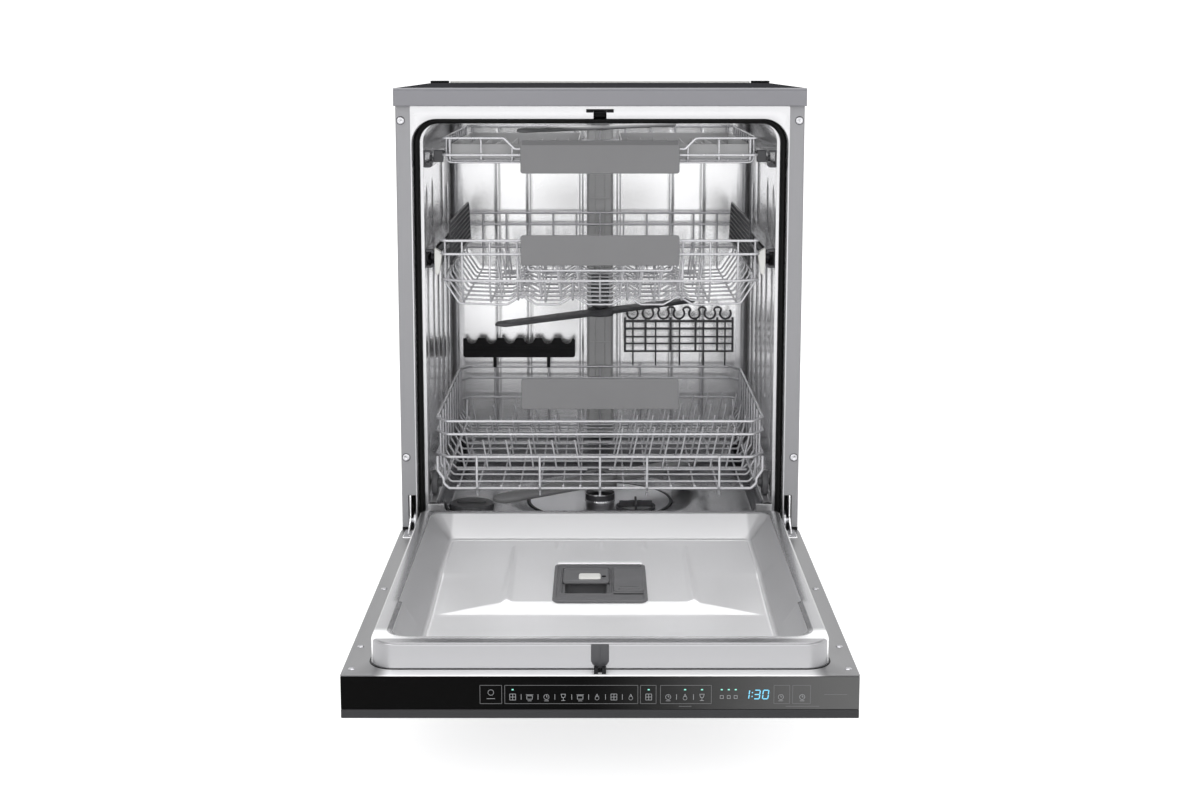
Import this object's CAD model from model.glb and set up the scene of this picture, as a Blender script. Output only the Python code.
import math

import bmesh
import bpy
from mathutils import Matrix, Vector


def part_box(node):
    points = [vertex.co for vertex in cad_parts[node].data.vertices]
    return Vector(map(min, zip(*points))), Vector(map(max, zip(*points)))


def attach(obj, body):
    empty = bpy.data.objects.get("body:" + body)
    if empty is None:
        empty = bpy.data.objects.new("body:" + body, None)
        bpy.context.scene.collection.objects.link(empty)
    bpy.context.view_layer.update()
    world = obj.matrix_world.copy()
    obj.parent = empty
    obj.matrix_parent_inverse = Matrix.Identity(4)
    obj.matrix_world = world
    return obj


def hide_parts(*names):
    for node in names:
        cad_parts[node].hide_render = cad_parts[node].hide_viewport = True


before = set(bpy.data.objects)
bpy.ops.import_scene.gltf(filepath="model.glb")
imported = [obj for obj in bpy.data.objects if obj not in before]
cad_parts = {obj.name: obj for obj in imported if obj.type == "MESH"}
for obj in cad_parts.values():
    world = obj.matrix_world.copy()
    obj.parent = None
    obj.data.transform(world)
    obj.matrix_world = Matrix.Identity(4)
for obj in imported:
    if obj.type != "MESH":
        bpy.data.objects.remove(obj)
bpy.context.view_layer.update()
MM = 0.001
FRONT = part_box("side_panel_right")[0].y / MM


def span(node):
    """The lowest and highest corner of a CAD node in millimetres, in the CAD's own layout."""
    low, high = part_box(node)
    shift = Vector((0, FRONT, 0))
    return low / MM - shift, high / MM - shift


def point(p):
    return Vector((p[0], p[1] + FRONT, p[2])) * MM


# ---------------------------------------------------------------- measures from the frame

COVER_LO, COVER_HI = span("top_cover")
TUB_HI = span("tub_wrap")[1]
TUB_HW = TUB_HI.x - 1
TUB_TOP = TUB_HI.z - 1
TUB_BACK = span("tub_back")[0].y
TRACK_Z = span("tub_floor")[1].z
POST_IN = span("front_frame")[1].x
RECESS_HW = span("tub_gasket")[1].x + 0.2
RECESS_TOP = span("tub_gasket")[1].z + 0.2
DOOR_HI = span("door_inner_panel")[1]
DOOR_HW = DOOR_HI.x
RIM_RISE = 31
PLATE_Z = DOOR_HI.z - RIM_RISE
RIM_Z = DOOR_HI.z
DOOR_END = -span("control_panel")[0].y
DOOR_LOW = span("door_outer_panel")[0].z
DISP_LO, DISP_HI = span("dispenser_housing")
ARM_Y = (span("lower_arm")[0].y + span("lower_arm")[1].y) / 2
SLOT_TOP = 209
RECESS_R = 36
TUB_R = 30
TRAY_HW = 268.6
TRAY_D1 = 586.5
FACET_DROP, FACET_END, SIDE_FALL, FALL_STEP = 9.5, 373, 240, 14
TRAY_RIBS, SHORT_RIBS = (-122, 122), (-58, 2, 62)
PIVOT = (0, 9.5, 168.5)
WHEEL_Y, AXLE_Z = (90, 430), 206.3
BASKET_FLOOR = 212


# ---------------------------------------------------------------- mesh tools

def add_mesh(name, verts, faces, sharp=40):
    """A mesh object from corners in millimetres, smooth apart from edges sharper than sharp degrees."""
    mesh = bpy.data.meshes.new(name)
    mesh.from_pydata([point(v) for v in verts], [], faces)
    mesh.validate()
    obj = bpy.data.objects.new(name, mesh)
    bpy.context.scene.collection.objects.link(obj)
    tidy(obj, sharp)
    return obj


def tidy(obj, sharp=40):
    """Merges doubles, points the faces outwards and sets smooth shading."""
    bm = bmesh.new()
    bm.from_mesh(obj.data)
    bmesh.ops.remove_doubles(bm, verts=bm.verts, dist=2e-5)
    bmesh.ops.recalc_face_normals(bm, faces=bm.faces)
    bm.to_mesh(obj.data)
    bm.free()
    obj.data.shade_smooth()
    obj.data.set_sharp_from_angle(angle=math.radians(sharp))


def bevelled(obj, width, segments=3, angle=30):
    """Rounds every edge sharper than angle, then keeps the flat faces looking flat."""
    bm = bmesh.new()
    bm.from_mesh(obj.data)
    bmesh.ops.remove_doubles(bm, verts=bm.verts, dist=1e-6)
    bmesh.ops.dissolve_limit(bm, angle_limit=math.radians(1), verts=bm.verts, edges=bm.edges)
    edges = [e for e in bm.edges
             if len(e.link_faces) == 2 and e.calc_face_angle(0) > math.radians(angle)]
    bmesh.ops.bevel(bm, geom=edges, offset=width * MM, segments=segments, profile=0.5,
                    affect="EDGES", clamp_overlap=True)
    bm.to_mesh(obj.data)
    bm.free()
    obj.data.shade_smooth()
    obj.data.set_sharp_from_angle(angle=math.radians(50))
    normals = obj.modifiers.new("normals", "WEIGHTED_NORMAL")
    normals.keep_sharp = True
    return obj


def thicken(obj, amount, side):
    """Gives a sheet its thickness: inwards, outwards or both ways for side -1, 1 or 0."""
    sheet = obj.modifiers.new("thickness", "SOLIDIFY")
    sheet.thickness = amount * MM
    sheet.offset = side


AXES = {"x": (1, 2, 0), "y": (0, 2, 1), "z": (0, 1, 2)}


def prism(name, outline, axis, a0, a1, bevel=0.8, segments=3):
    """An outline pushed from a0 to a1 along an axis, with rounded edges."""
    u, v, w = AXES[axis]
    verts = []
    for a in (a0, a1):
        for p in outline:
            q = [0, 0, 0]
            q[u], q[v], q[w] = p[0], p[1], a
            verts.append(q)
    n = len(outline)
    faces = [list(range(n))[::-1], list(range(n, 2 * n))]
    faces += [[i, (i + 1) % n, n + (i + 1) % n, n + i] for i in range(n)]
    obj = add_mesh(name, verts, faces)
    return bevelled(obj, bevel, segments) if bevel else obj


def slab(name, lo, hi, bevel=0.8, segments=3):
    """A block between two corners with rounded edges."""
    outline = [(lo[0], lo[1]), (hi[0], lo[1]), (hi[0], hi[1]), (lo[0], hi[1])]
    return prism(name, outline, "z", lo[2], hi[2], bevel, segments)


def joined(name, objs):
    """One object from several."""
    bm = bmesh.new()
    for o in objs:
        bm.from_mesh(o.data)
    mesh = bpy.data.meshes.new(name)
    bm.to_mesh(mesh)
    bm.free()
    sharp = any(o.modifiers for o in objs)
    for o in objs:
        bpy.data.objects.remove(o)
    obj = bpy.data.objects.new(name, mesh)
    bpy.context.scene.collection.objects.link(obj)
    mesh.shade_smooth()
    mesh.set_sharp_from_angle(angle=math.radians(45))
    if sharp:
        obj.modifiers.new("normals", "WEIGHTED_NORMAL").keep_sharp = True
    return obj


def ring(corners, counts):
    """Points round a closed outline. A corner is (x, y, cut): the corner is rounded from cut before
    it to cut after it. counts gives, for each corner, the points on it and on the edge after it."""
    pts = []
    n = len(corners)
    for i in range(n):
        here, after = Vector(corners[i][:2]), Vector(corners[(i + 1) % n][:2])
        before = Vector(corners[i - 1][:2])
        cut, next_cut = corners[i][2], corners[(i + 1) % n][2]
        a = here + (before - here).normalized() * cut
        b = here + (after - here).normalized() * cut
        k = 0.5523
        bend, edge = counts[i]
        for j in range(bend):
            t = j / (bend - 1)
            c1, c2 = a.lerp(here, k), b.lerp(here, k)
            pts.append(a * (1 - t) ** 3 + c1 * 3 * t * (1 - t) ** 2
                       + c2 * 3 * t * t * (1 - t) + b * t ** 3)
        end = after + (here - after).normalized() * next_cut
        for j in range(1, edge):
            pts.append(b.lerp(end, j / edge))
    return pts


def arch(hw, low, top, r, bend=10, side=24, roof=28):
    """Points up, over and down an upside-down U, from its left foot to its right foot."""
    pts = [Vector((-hw, low + (top - r - low) * i / side)) for i in range(side)]
    pts += [Vector((-hw + r - r * math.cos(a), top - r + r * math.sin(a)))
            for a in (math.pi / 2 * i / bend for i in range(bend))]
    pts += [Vector((-hw + r + 2 * (hw - r) * i / roof, top)) for i in range(roof)]
    pts += [Vector((hw - r + r * math.sin(a), top - r + r * math.cos(a)))
            for a in (math.pi / 2 * i / bend for i in range(bend))]
    pts += [Vector((hw, top - r - (top - r - low) * i / side)) for i in range(side + 1)]
    return pts


def skin(rows, closed):
    """Corners and faces between rows of equal length."""
    n = len(rows[0])
    verts = [p for row in rows for p in row]
    faces = []
    for r in range(len(rows) - 1):
        for i in range(n if closed else n - 1):
            j = (i + 1) % n
            faces.append((r * n + i, r * n + j, (r + 1) * n + j, (r + 1) * n + i))
    return verts, faces


def loft(name, rows, closed=True, caps=False, sharp=40):
    verts, faces = skin(rows, closed)
    n = len(rows[0])
    if caps:
        faces.append(list(range(n))[::-1])
        faces.append(list(range(len(verts) - n, len(verts))))
    return add_mesh(name, verts, faces, sharp)


def turned(name, profile, centre, axis="z", steps=48, sharp=35):
    """A shape turned from (radius, height) points about an axis through centre."""
    u, v, w = AXES[axis]
    rows = []
    for r, h in profile:
        row = []
        for i in range(steps):
            a = 2 * math.pi * i / steps
            q = [0, 0, 0]
            q[u] = centre[u] + r * math.cos(a)
            q[v] = centre[v] + r * math.sin(a)
            q[w] = centre[w] + h
            row.append(q)
        rows.append(row)
    return loft(name, rows, True, False, sharp)


def bent(points, r, steps=5):
    """A path of straight runs with its corners rounded to radius r."""
    pts = [Vector(p) for p in points]
    out = [pts[0]]
    for a, b, c in zip(pts, pts[1:], pts[2:]):
        u, v = (a - b), (c - b)
        turn = math.pi - u.angle(v)
        cut = min(r * math.tan(turn / 2), u.length * 0.48, v.length * 0.48)
        p, q = b + u.normalized() * cut, b + v.normalized() * cut
        for i in range(steps + 1):
            t = i / steps
            out.append(p.lerp(b, t).lerp(b.lerp(q, t), t))
    out.append(pts[-1])
    return out


def wires(name, paths, radius, closed=()):
    """Round wires along paths. A path may be (points, own radius)."""
    curve = bpy.data.curves.new(name, "CURVE")
    curve.dimensions = "3D"
    curve.bevel_depth = radius * MM
    curve.bevel_resolution = 3
    curve.use_fill_caps = True
    for i, path in enumerate(paths):
        own = radius
        if isinstance(path, tuple):
            path, own = path
        spline = curve.splines.new("POLY")
        spline.points.add(len(path) - 1)
        for knot, p in zip(spline.points, path):
            knot.co = (*point(p), 1)
            knot.radius = own / radius
        spline.use_cyclic_u = i in closed
    obj = bpy.data.objects.new(name, curve)
    bpy.context.scene.collection.objects.link(obj)
    return obj


# ---------------------------------------------------------------- materials

def material(name):
    mat = bpy.data.materials.new(name)
    mat.use_nodes = True
    return mat, mat.node_tree.nodes, mat.node_tree.links, mat.node_tree.nodes["Principled BSDF"]


def noise(nodes, links, stretch, scale, detail=4, rough=0.6):
    """A noise texture in the object's own metres, stretched along an axis."""
    coords = nodes.new("ShaderNodeTexCoord")
    mapping = nodes.new("ShaderNodeMapping")
    mapping.inputs["Scale"].default_value = stretch
    tex = nodes.new("ShaderNodeTexNoise")
    tex.inputs["Scale"].default_value = scale
    tex.inputs["Detail"].default_value = detail
    tex.inputs["Roughness"].default_value = rough
    links.new(coords.outputs["Object"], mapping.inputs["Vector"])
    links.new(mapping.outputs["Vector"], tex.inputs["Vector"])
    return tex


def remap(nodes, links, source, low, high):
    node = nodes.new("ShaderNodeMapRange")
    node.inputs["From Min"].default_value = 0.3
    node.inputs["From Max"].default_value = 0.7
    node.inputs["To Min"].default_value = low
    node.inputs["To Max"].default_value = high
    links.new(source, node.inputs["Value"])
    return node.outputs["Result"]


def tint(nodes, links, source, colour, amount):
    """A colour that varies a little with the source."""
    mix = nodes.new("ShaderNodeMix")
    mix.data_type = "RGBA"
    mix.inputs["A"].default_value = (*[c * (1 - amount) for c in colour], 1)
    mix.inputs["B"].default_value = (*[min(1, c * (1 + amount)) for c in colour], 1)
    links.new(source, mix.inputs["Factor"])
    return mix.outputs["Result"]


def bump(nodes, links, source, bsdf, strength, distance):
    node = nodes.new("ShaderNodeBump")
    node.inputs["Strength"].default_value = strength
    node.inputs["Distance"].default_value = distance
    links.new(source, node.inputs["Height"])
    links.new(node.outputs["Normal"], bsdf.inputs["Normal"])
    return node


def steel(name, colour, rough, stretch, line_scale=900, line_bump=0.02, spread=0.025, metal=1):
    """Rolled or brushed stainless steel; the rolling lines run along the axis that stretch shrinks."""
    mat, nodes, links, bsdf = material(name)
    bsdf.inputs["Metallic"].default_value = metal
    lines = noise(nodes, links, stretch, line_scale, 3, 0.7)
    cloud = noise(nodes, links, (1, 1, 1), 9, 3, 0.5)
    links.new(tint(nodes, links, cloud.outputs["Fac"], colour, 0.015), bsdf.inputs["Base Color"])
    both = nodes.new("ShaderNodeMath")
    both.operation = "MULTIPLY_ADD"
    both.inputs[1].default_value = 0.35
    links.new(cloud.outputs["Fac"], both.inputs[0])
    scaled = nodes.new("ShaderNodeMath")
    scaled.operation = "MULTIPLY"
    scaled.inputs[1].default_value = 0.65
    links.new(lines.outputs["Fac"], scaled.inputs[0])
    links.new(scaled.outputs["Value"], both.inputs[2])
    links.new(remap(nodes, links, both.outputs["Value"], rough - spread, rough + spread),
              bsdf.inputs["Roughness"])
    bump(nodes, links, lines.outputs["Fac"], bsdf, line_bump, 0.0002)
    return mat


def plastic(name, colour, rough=0.45, grain=1500, depth=0.12, coat=0.0, vary=0.05, shine=0.35):
    """Moulded plastic with a fine spark-eroded grain."""
    mat, nodes, links, bsdf = material(name)
    bsdf.inputs["Specular IOR Level"].default_value = shine
    bsdf.inputs["Coat Weight"].default_value = coat
    bsdf.inputs["Coat Roughness"].default_value = 0.12
    fine = noise(nodes, links, (1, 1, 1), grain, 2, 0.5)
    cloud = noise(nodes, links, (1, 1, 1), 24, 3, 0.55)
    links.new(tint(nodes, links, cloud.outputs["Fac"], colour, vary), bsdf.inputs["Base Color"])
    links.new(remap(nodes, links, cloud.outputs["Fac"], rough - 0.05, rough + 0.05),
              bsdf.inputs["Roughness"])
    bump(nodes, links, fine.outputs["Fac"], bsdf, depth, 0.00015)
    return mat


def painted(name, colour, rough=0.35, metallic=0.0, peel=0.03):
    """Sprayed paint with a faint orange peel."""
    mat, nodes, links, bsdf = material(name)
    bsdf.inputs["Metallic"].default_value = metallic
    bsdf.inputs["Coat Weight"].default_value = 0.25
    bsdf.inputs["Coat Roughness"].default_value = 0.2
    orange = noise(nodes, links, (1, 1, 1), 420, 2, 0.4)
    cloud = noise(nodes, links, (1, 1, 1), 6, 2, 0.5)
    links.new(tint(nodes, links, cloud.outputs["Fac"], colour, 0.03), bsdf.inputs["Base Color"])
    links.new(remap(nodes, links, orange.outputs["Fac"], rough - 0.04, rough + 0.04),
              bsdf.inputs["Roughness"])
    bump(nodes, links, orange.outputs["Fac"], bsdf, peel, 0.0003)
    return mat


def glow(name, colour, strength):
    """A lit segment behind the glass, a little uneven as a real one is."""
    mat, nodes, links, bsdf = material(name)
    cloud = noise(nodes, links, (1, 1, 1), 160, 2, 0.5)
    links.new(tint(nodes, links, cloud.outputs["Fac"], colour, 0.08),
              bsdf.inputs["Emission Color"])
    bsdf.inputs["Base Color"].default_value = (*[c * 0.3 for c in colour], 1)
    bsdf.inputs["Emission Strength"].default_value = strength
    bsdf.inputs["Roughness"].default_value = 0.3
    return mat


def gloss_glass(name, colour):
    mat, nodes, links, bsdf = material(name)
    cloud = noise(nodes, links, (1, 1, 1), 14, 4, 0.6)
    links.new(tint(nodes, links, cloud.outputs["Fac"], colour, 0.1), bsdf.inputs["Base Color"])
    links.new(remap(nodes, links, cloud.outputs["Fac"], 0.05, 0.11), bsdf.inputs["Roughness"])
    bsdf.inputs["Specular IOR Level"].default_value = 0.03
    bsdf.inputs["Coat Weight"].default_value = 0.005
    bsdf.inputs["Coat Roughness"].default_value = 0.04
    return mat


def mesh_metal(name):
    """Etched filter sheet: steel with a close pattern of small holes."""
    mat, nodes, links, bsdf = material(name)
    bsdf.inputs["Metallic"].default_value = 1
    bsdf.inputs["Roughness"].default_value = 0.3
    coords = nodes.new("ShaderNodeTexCoord")
    cells = nodes.new("ShaderNodeTexVoronoi")
    cells.inputs["Scale"].default_value = 420
    cells.inputs["Randomness"].default_value = 0.15
    links.new(coords.outputs["Object"], cells.inputs["Vector"])
    ramp = nodes.new("ShaderNodeValToRGB")
    ramp.color_ramp.elements[0].position = 0.28
    ramp.color_ramp.elements[0].color = (0.05, 0.05, 0.055, 1)
    ramp.color_ramp.elements[1].position = 0.36
    ramp.color_ramp.elements[1].color = (0.74, 0.74, 0.76, 1)
    links.new(cells.outputs["Distance"], ramp.inputs["Fac"])
    links.new(ramp.outputs["Color"], bsdf.inputs["Base Color"])
    bump(nodes, links, cells.outputs["Distance"], bsdf, 0.3, 0.0004)
    return mat


def rubber(name, colour):
    mat, nodes, links, bsdf = material(name)
    fine = noise(nodes, links, (1, 1, 1), 700, 4, 0.7)
    dust = noise(nodes, links, (1, 1, 1), 40, 4, 0.6)
    links.new(tint(nodes, links, dust.outputs["Fac"], colour, 0.25), bsdf.inputs["Base Color"])
    links.new(remap(nodes, links, dust.outputs["Fac"], 0.5, 0.68), bsdf.inputs["Roughness"])
    bsdf.inputs["Specular IOR Level"].default_value = 0.12
    bump(nodes, links, fine.outputs["Fac"], bsdf, 0.2, 0.0002)
    return mat


def graded(mat, axis, start, end, colour):
    """Turns a look's colour into another one between two places along an axis, in mm."""
    nodes, links = mat.node_tree.nodes, mat.node_tree.links
    bsdf = nodes["Principled BSDF"]
    first = bsdf.inputs["Base Color"].links[0].from_socket
    coords = nodes.new("ShaderNodeTexCoord")
    axes = nodes.new("ShaderNodeSeparateXYZ")
    links.new(coords.outputs["Object"], axes.inputs["Vector"])
    fade = nodes.new("ShaderNodeMapRange")
    fade.interpolation_type = "SMOOTHSTEP"
    fade.inputs["From Min"].default_value = start * MM
    fade.inputs["From Max"].default_value = end * MM
    links.new(axes.outputs[axis], fade.inputs["Value"])
    mix = nodes.new("ShaderNodeMix")
    mix.data_type = "RGBA"
    links.new(fade.outputs["Result"], mix.inputs["Factor"])
    mix_a = [s for s in mix.inputs if s.name == "A" and s.type == "RGBA"][0]
    mix_b = [s for s in mix.inputs if s.name == "B" and s.type == "RGBA"][0]
    mix_b.default_value = (*colour, 1)
    links.new(first, mix_a)
    links.new([s for s in mix.outputs if s.type == "RGBA"][0], bsdf.inputs["Base Color"])
    return mat


def both_sides(mat, start, end, colour):
    """The same turn of colour on the left and on the right."""
    return graded(graded(mat, "X", start, end, colour), "X", -start, -end, colour)


ALONG_X, ALONG_Y, ALONG_Z = (0.03, 1, 1), (1, 0.03, 1), (1, 1, 0.03)

M = {
    "tub": steel("tub_steel_look", (0.86, 0.86, 0.87), 0.18, ALONG_Y, 700, 0.008, 0.025, 0.88),
    "tub_back": steel("tub_back_look", (0.82, 0.82, 0.83), 0.24, ALONG_Z, 700, 0.008, 0.025, 0.85),
    "floor": steel("tub_floor_look", (0.22, 0.22, 0.23), 0.2, ALONG_Y, 700, 0.008),
    "tray": both_sides(graded(
        steel("door_steel_look", (0.93, 0.93, 0.94), 0.36, ALONG_X, 900, 0.002, 0.006, 0.72),
        "Y", -38, -30, (0.68, 0.68, 0.69)), 216, 222, (0.50, 0.50, 0.51)),
    "rim": graded(graded(
        steel("door_rim_look", (0.36, 0.36, 0.37), 0.25, ALONG_X, 900, 0.006, 0.015, 0.82),
        "Y", -500, -517, (0.90, 0.90, 0.91)), "Y", -538.2, -539.4, (0.345, 0.345, 0.355)),
    "plate": both_sides(graded(
        steel("door_margin_look", (0.97, 0.97, 0.98), 0.34, ALONG_Y, 900, 0.006, 0.02, 0.6),
        "Y", -540, -528, (0.19, 0.19, 0.195)), 240, 262, (0.19, 0.19, 0.195)),
    "frame": steel("frame_steel_look", (0.50, 0.50, 0.51), 0.26, ALONG_X, 900, 0.012),
    "screw": steel("screw_steel_look", (0.50, 0.50, 0.52), 0.26, (1, 1, 1), 1200, 0.04),
    "zinc": steel("zinc_look", (0.60, 0.60, 0.62), 0.38, (1, 1, 1), 300, 0.1),
    "hinge": steel("hinge_steel_look", (0.86, 0.86, 0.87), 0.22, ALONG_Z, 900, 0.04),
    "spring": steel("spring_look", (0.38, 0.38, 0.40), 0.35, (1, 1, 1), 500, 0.1),
    "mesh": mesh_metal("filter_mesh_look"),
    "post": painted("post_paint_look", (0.215, 0.215, 0.225), 0.38, 0.3, 0.01),
    "outer": painted("outer_paint_look", (0.20, 0.20, 0.21), 0.38, 0.3),
    "back": painted("back_sheet_look", (0.45, 0.45, 0.46), 0.42, 0.6),
    "cover_edge": painted("cover_edge_look", (0.165, 0.165, 0.178), 0.34, 0.55, 0.004),
    "cover_top": plastic("cover_top_look", (0.030, 0.030, 0.033), 0.5, 900, 0.25, 0, 0.05, 0),
    "black": plastic("black_plastic_look", (0.008, 0.008, 0.009), 0.42, 1500, 0.1, 0, 0.05, 0.12),
    "dispenser": plastic("dispenser_look", (0.105, 0.105, 0.11), 0.4, 1300, 0.14),
    "dark": plastic("dark_plastic_look", (0.052, 0.052, 0.056), 0.42, 1300, 0.14),
    "cap": plastic("salt_cap_look", (0.105, 0.105, 0.11), 0.42, 1300, 0.14),
    "grey": plastic("grey_plastic_look", (0.225, 0.225, 0.23), 0.44, 1300, 0.14),
    "duct": plastic("duct_look", (0.40, 0.40, 0.405), 0.4, 1300, 0.12),
    "insert": plastic("insert_look", (0.30, 0.30, 0.305), 0.42, 1300, 0.12),
    "handle": plastic("handle_look", (0.148, 0.148, 0.152), 0.42, 1100, 0.1),
    "dark_grip": plastic("grip_band_look", (0.10, 0.10, 0.103), 0.45, 1100, 0.1),
    "light": plastic("light_plastic_look", (0.62, 0.62, 0.60), 0.4),
    "label": plastic("label_plastic_look", (0.42, 0.42, 0.43), 0.35),
    "wheel": plastic("wheel_look", (0.10, 0.10, 0.105), 0.38, 900, 0.1),
    "pump": plastic("pump_plastic_look", (0.035, 0.035, 0.04), 0.45),
    "board": plastic("board_look", (0.02, 0.10, 0.04), 0.35),
    "wire": painted("rack_wire_look", (0.50, 0.50, 0.52), 0.24, 0.42, 0.01),
    "seal": rubber("seal_rubber_look", (0.006, 0.006, 0.006)),
    "glass": graded(gloss_glass("panel_glass_look", (0.002, 0.002, 0.002)), "X", -30, 330,
                    (0.095, 0.095, 0.095)),
    "trim": plastic("trim_look", (0.034, 0.034, 0.036), 0.42, 1300, 0.08, 0, 0.05, 0.08),
    "print": glow("panel_print_look", (0.55, 0.56, 0.58), 0.25),
    "print_dim": glow("panel_print_dim_look", (0.28, 0.28, 0.29), 0.10),
    "digit": glow("digit_look", (0.16, 0.56, 0.80), 1.15),
    "lamp": glow("lamp_look", (0.25, 0.75, 0.62), 0.9),
}


def piece(obj, look, body, slot, *stands_for):
    """Gives a piece its material, its body, its record slot and the CAD nodes it stands for."""
    obj.data.materials.clear()
    obj.data.materials.append(M[look])
    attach(obj, body)
    if stands_for:
        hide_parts(*stands_for)
    return obj


def dress(node, look):
    """Gives a carried-over CAD node its material."""
    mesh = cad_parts[node].data
    mesh.materials.clear()
    mesh.materials.append(M[look])


# ---------------------------------------------------------------- cabinet

def top_cover():
    x0, x1 = COVER_LO.x, COVER_HI.x
    y0, y1, z0, z1 = COVER_LO.y, COVER_HI.y, COVER_LO.z, COVER_HI.z
    profile = [(y0, z0 + 0.8), (y0, z1 - 5)]
    profile += [(y0 + 5 - 5 * math.cos(a), z1 - 5 + 5 * math.sin(a))
                for a in (math.radians(10 * i) for i in range(1, 10))]
    profile += [(y0 + 9, z1), (y0 + 9, z1 - 2.4), (y1, z1 - 2.4), (y1, z0), (y0 + 0.8, z0)]
    shell = prism("cover_shell", profile, "x", x0, x1, 0.35, 2)
    piece(shell, "cover_edge", "cabinet", "cover_board", "top_cover")
    inlay = slab("cover_inlay", (x0 + 1.5, y0 + 9.6, z1 - 2.4), (x1 - 1.5, y1 - 0.8, z1 - 0.05), 0.5, 2)
    piece(inlay, "cover_top", "cabinet", "cover_board")
    strip = slab("cover_rear_strip", (-264, y1 - 9, z1 - 0.1), (264, y1 - 1, z1 + 3.4), 0.6, 2)
    piece(strip, "light", "cabinet", "cover_board")


def corner_caps():
    lo, hi = span("corner_caps")
    caps = []
    for s in (-1, 1):
        x, y = hi.x - 7, lo.y + 7
        outline = [(x - 25, y + 5), (x - 7, y + 5), (x - 7, y)]
        outline += [(x + 7 * math.cos(a), y + 7 * math.sin(a))
                    for a in (math.radians(180 + 15 * i) for i in range(1, 13))]
        outline += [(x + 7, hi.y), (x - 25, hi.y)]
        caps.append(prism("cap", [(s * p[0], p[1]) for p in outline], "z", lo.z, hi.z, 1.4, 4))
    piece(joined("corner_cap_pair", caps), "black", "cabinet", "black_plastic", "corner_caps")


def side_panels():
    """A folded sheet: the side, the front flange with a soft bend, the rear and top flanges. The
    front flange is narrower round the hinge."""
    hi = span("side_panel_right")[1]
    for s, name in ((-1, "left"), (1, "right")):
        parts = []
        for z0, z1, flange in ((SLOT_TOP, hi.z - 0.1, POST_IN), (160, SLOT_TOP, 287.5)):
            outline = [(flange, 0.25), (flange + 0.25, 0)]
            outline += [(hi.x - 2.2 + 2.2 * math.sin(a), 2.2 - 2.2 * math.cos(a))
                        for a in (math.radians(15 * i) for i in range(7))]
            outline += [(hi.x, hi.y), (hi.x - 16, hi.y), (hi.x - 16, hi.y - 1), (hi.x - 0.9, hi.y - 1)]
            outline += [(hi.x - 2.2 + 1.3 * math.sin(a), 2.2 - 1.3 * math.cos(a))
                        for a in (math.radians(90 - 15 * i) for i in range(7))]
            outline += [(flange, 0.95)]
            parts.append(prism("fold", [(s * p[0], p[1]) for p in outline], "z", z0, z1, 0, 0))
        parts.append(slab("low", (min(s * hi.x, s * hi.x - s * 0.9), 0, 60),
                          (max(s * hi.x, s * hi.x - s * 0.9), hi.y, 160), 0.2, 1))
        x = sorted((s * (hi.x - 16), s * (hi.x - 0.5)))
        parts.append(slab("roof", (x[0], 2.4, hi.z - 1), (x[1], hi.y - 1, hi.z - 0.1), 0.2, 1))
        piece(joined("side_panel_" + name + "_sheet", parts), "post", "cabinet", "post_paint",
              "side_panel_" + name)


def back_panel():
    """A thin sheet with two pressed fields and cross beads, held by screws round its edge."""
    lo, hi = span("back_panel")
    fields = [(lo.z + 26, 430), (470, hi.z - 40)]

    def pressed(x, z):
        deep = 0
        for a, b in fields:
            edge = min(x - lo.x - 36, hi.x - 36 - x, z - a, b - z)
            deep = max(deep, 2.4 * min(max(edge / 8, 0), 1))
            if edge > 20:
                u = (x - (lo.x + hi.x) / 2) / (hi.x - lo.x - 72)
                v = (z - (a + b) / 2) / (b - a)
                off = min(abs(u - v), abs(u + v)) * 300
                deep -= 1.6 * math.exp(-(off / 7) ** 2) * min((edge - 20) / 12, 1)
        return max(deep, 0)
    xs = [lo.x + (hi.x - lo.x) * i / 150 for i in range(151)]
    zs = [lo.z + (hi.z - lo.z) * i / 170 for i in range(171)]
    rows = [[(x, hi.y - 0.45 - pressed(x, z), z) for x in xs] for z in zs]
    sheet = loft("back_panel_sheet", rows, False, False, 60)
    thicken(sheet, 0.4, -1)
    piece(sheet, "back", "cabinet", "back_metal", "back_panel")
    heads = []
    for z in (lo.z + 12, 300, 450, 600, hi.z - 14):
        for x in (lo.x + 12, hi.x - 12):
            heads.append(turned("head", [(0, hi.y), (2.6, hi.y - 0.02), (3.4, hi.y - 0.2), (3.6, hi.y - 0.5),
                                         (0, hi.y - 0.5)], (x, 0, z), "y", 24, 50))
    piece(joined("back_panel_screws", heads), "screw", "cabinet", "back_metal")


def cut_slot(obj, lo, hi):
    """Cuts the sheet along a box's faces and takes away what lies inside the box."""
    bm = bmesh.new()
    bm.from_mesh(obj.data)
    a, b = point(lo), point(hi)
    for axis in range(3):
        for place in (a[axis], b[axis]):
            normal = Vector([1 if i == axis else 0 for i in range(3)])
            bmesh.ops.bisect_plane(bm, geom=bm.verts[:] + bm.edges[:] + bm.faces[:],
                                   plane_co=normal * place, plane_no=normal)
    gone = [f for f in bm.faces
            if all(a[i] < f.calc_center_median()[i] < b[i] for i in range(3))]
    bmesh.ops.delete(bm, geom=gone, context="FACES")
    bm.to_mesh(obj.data)
    bm.free()


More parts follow.
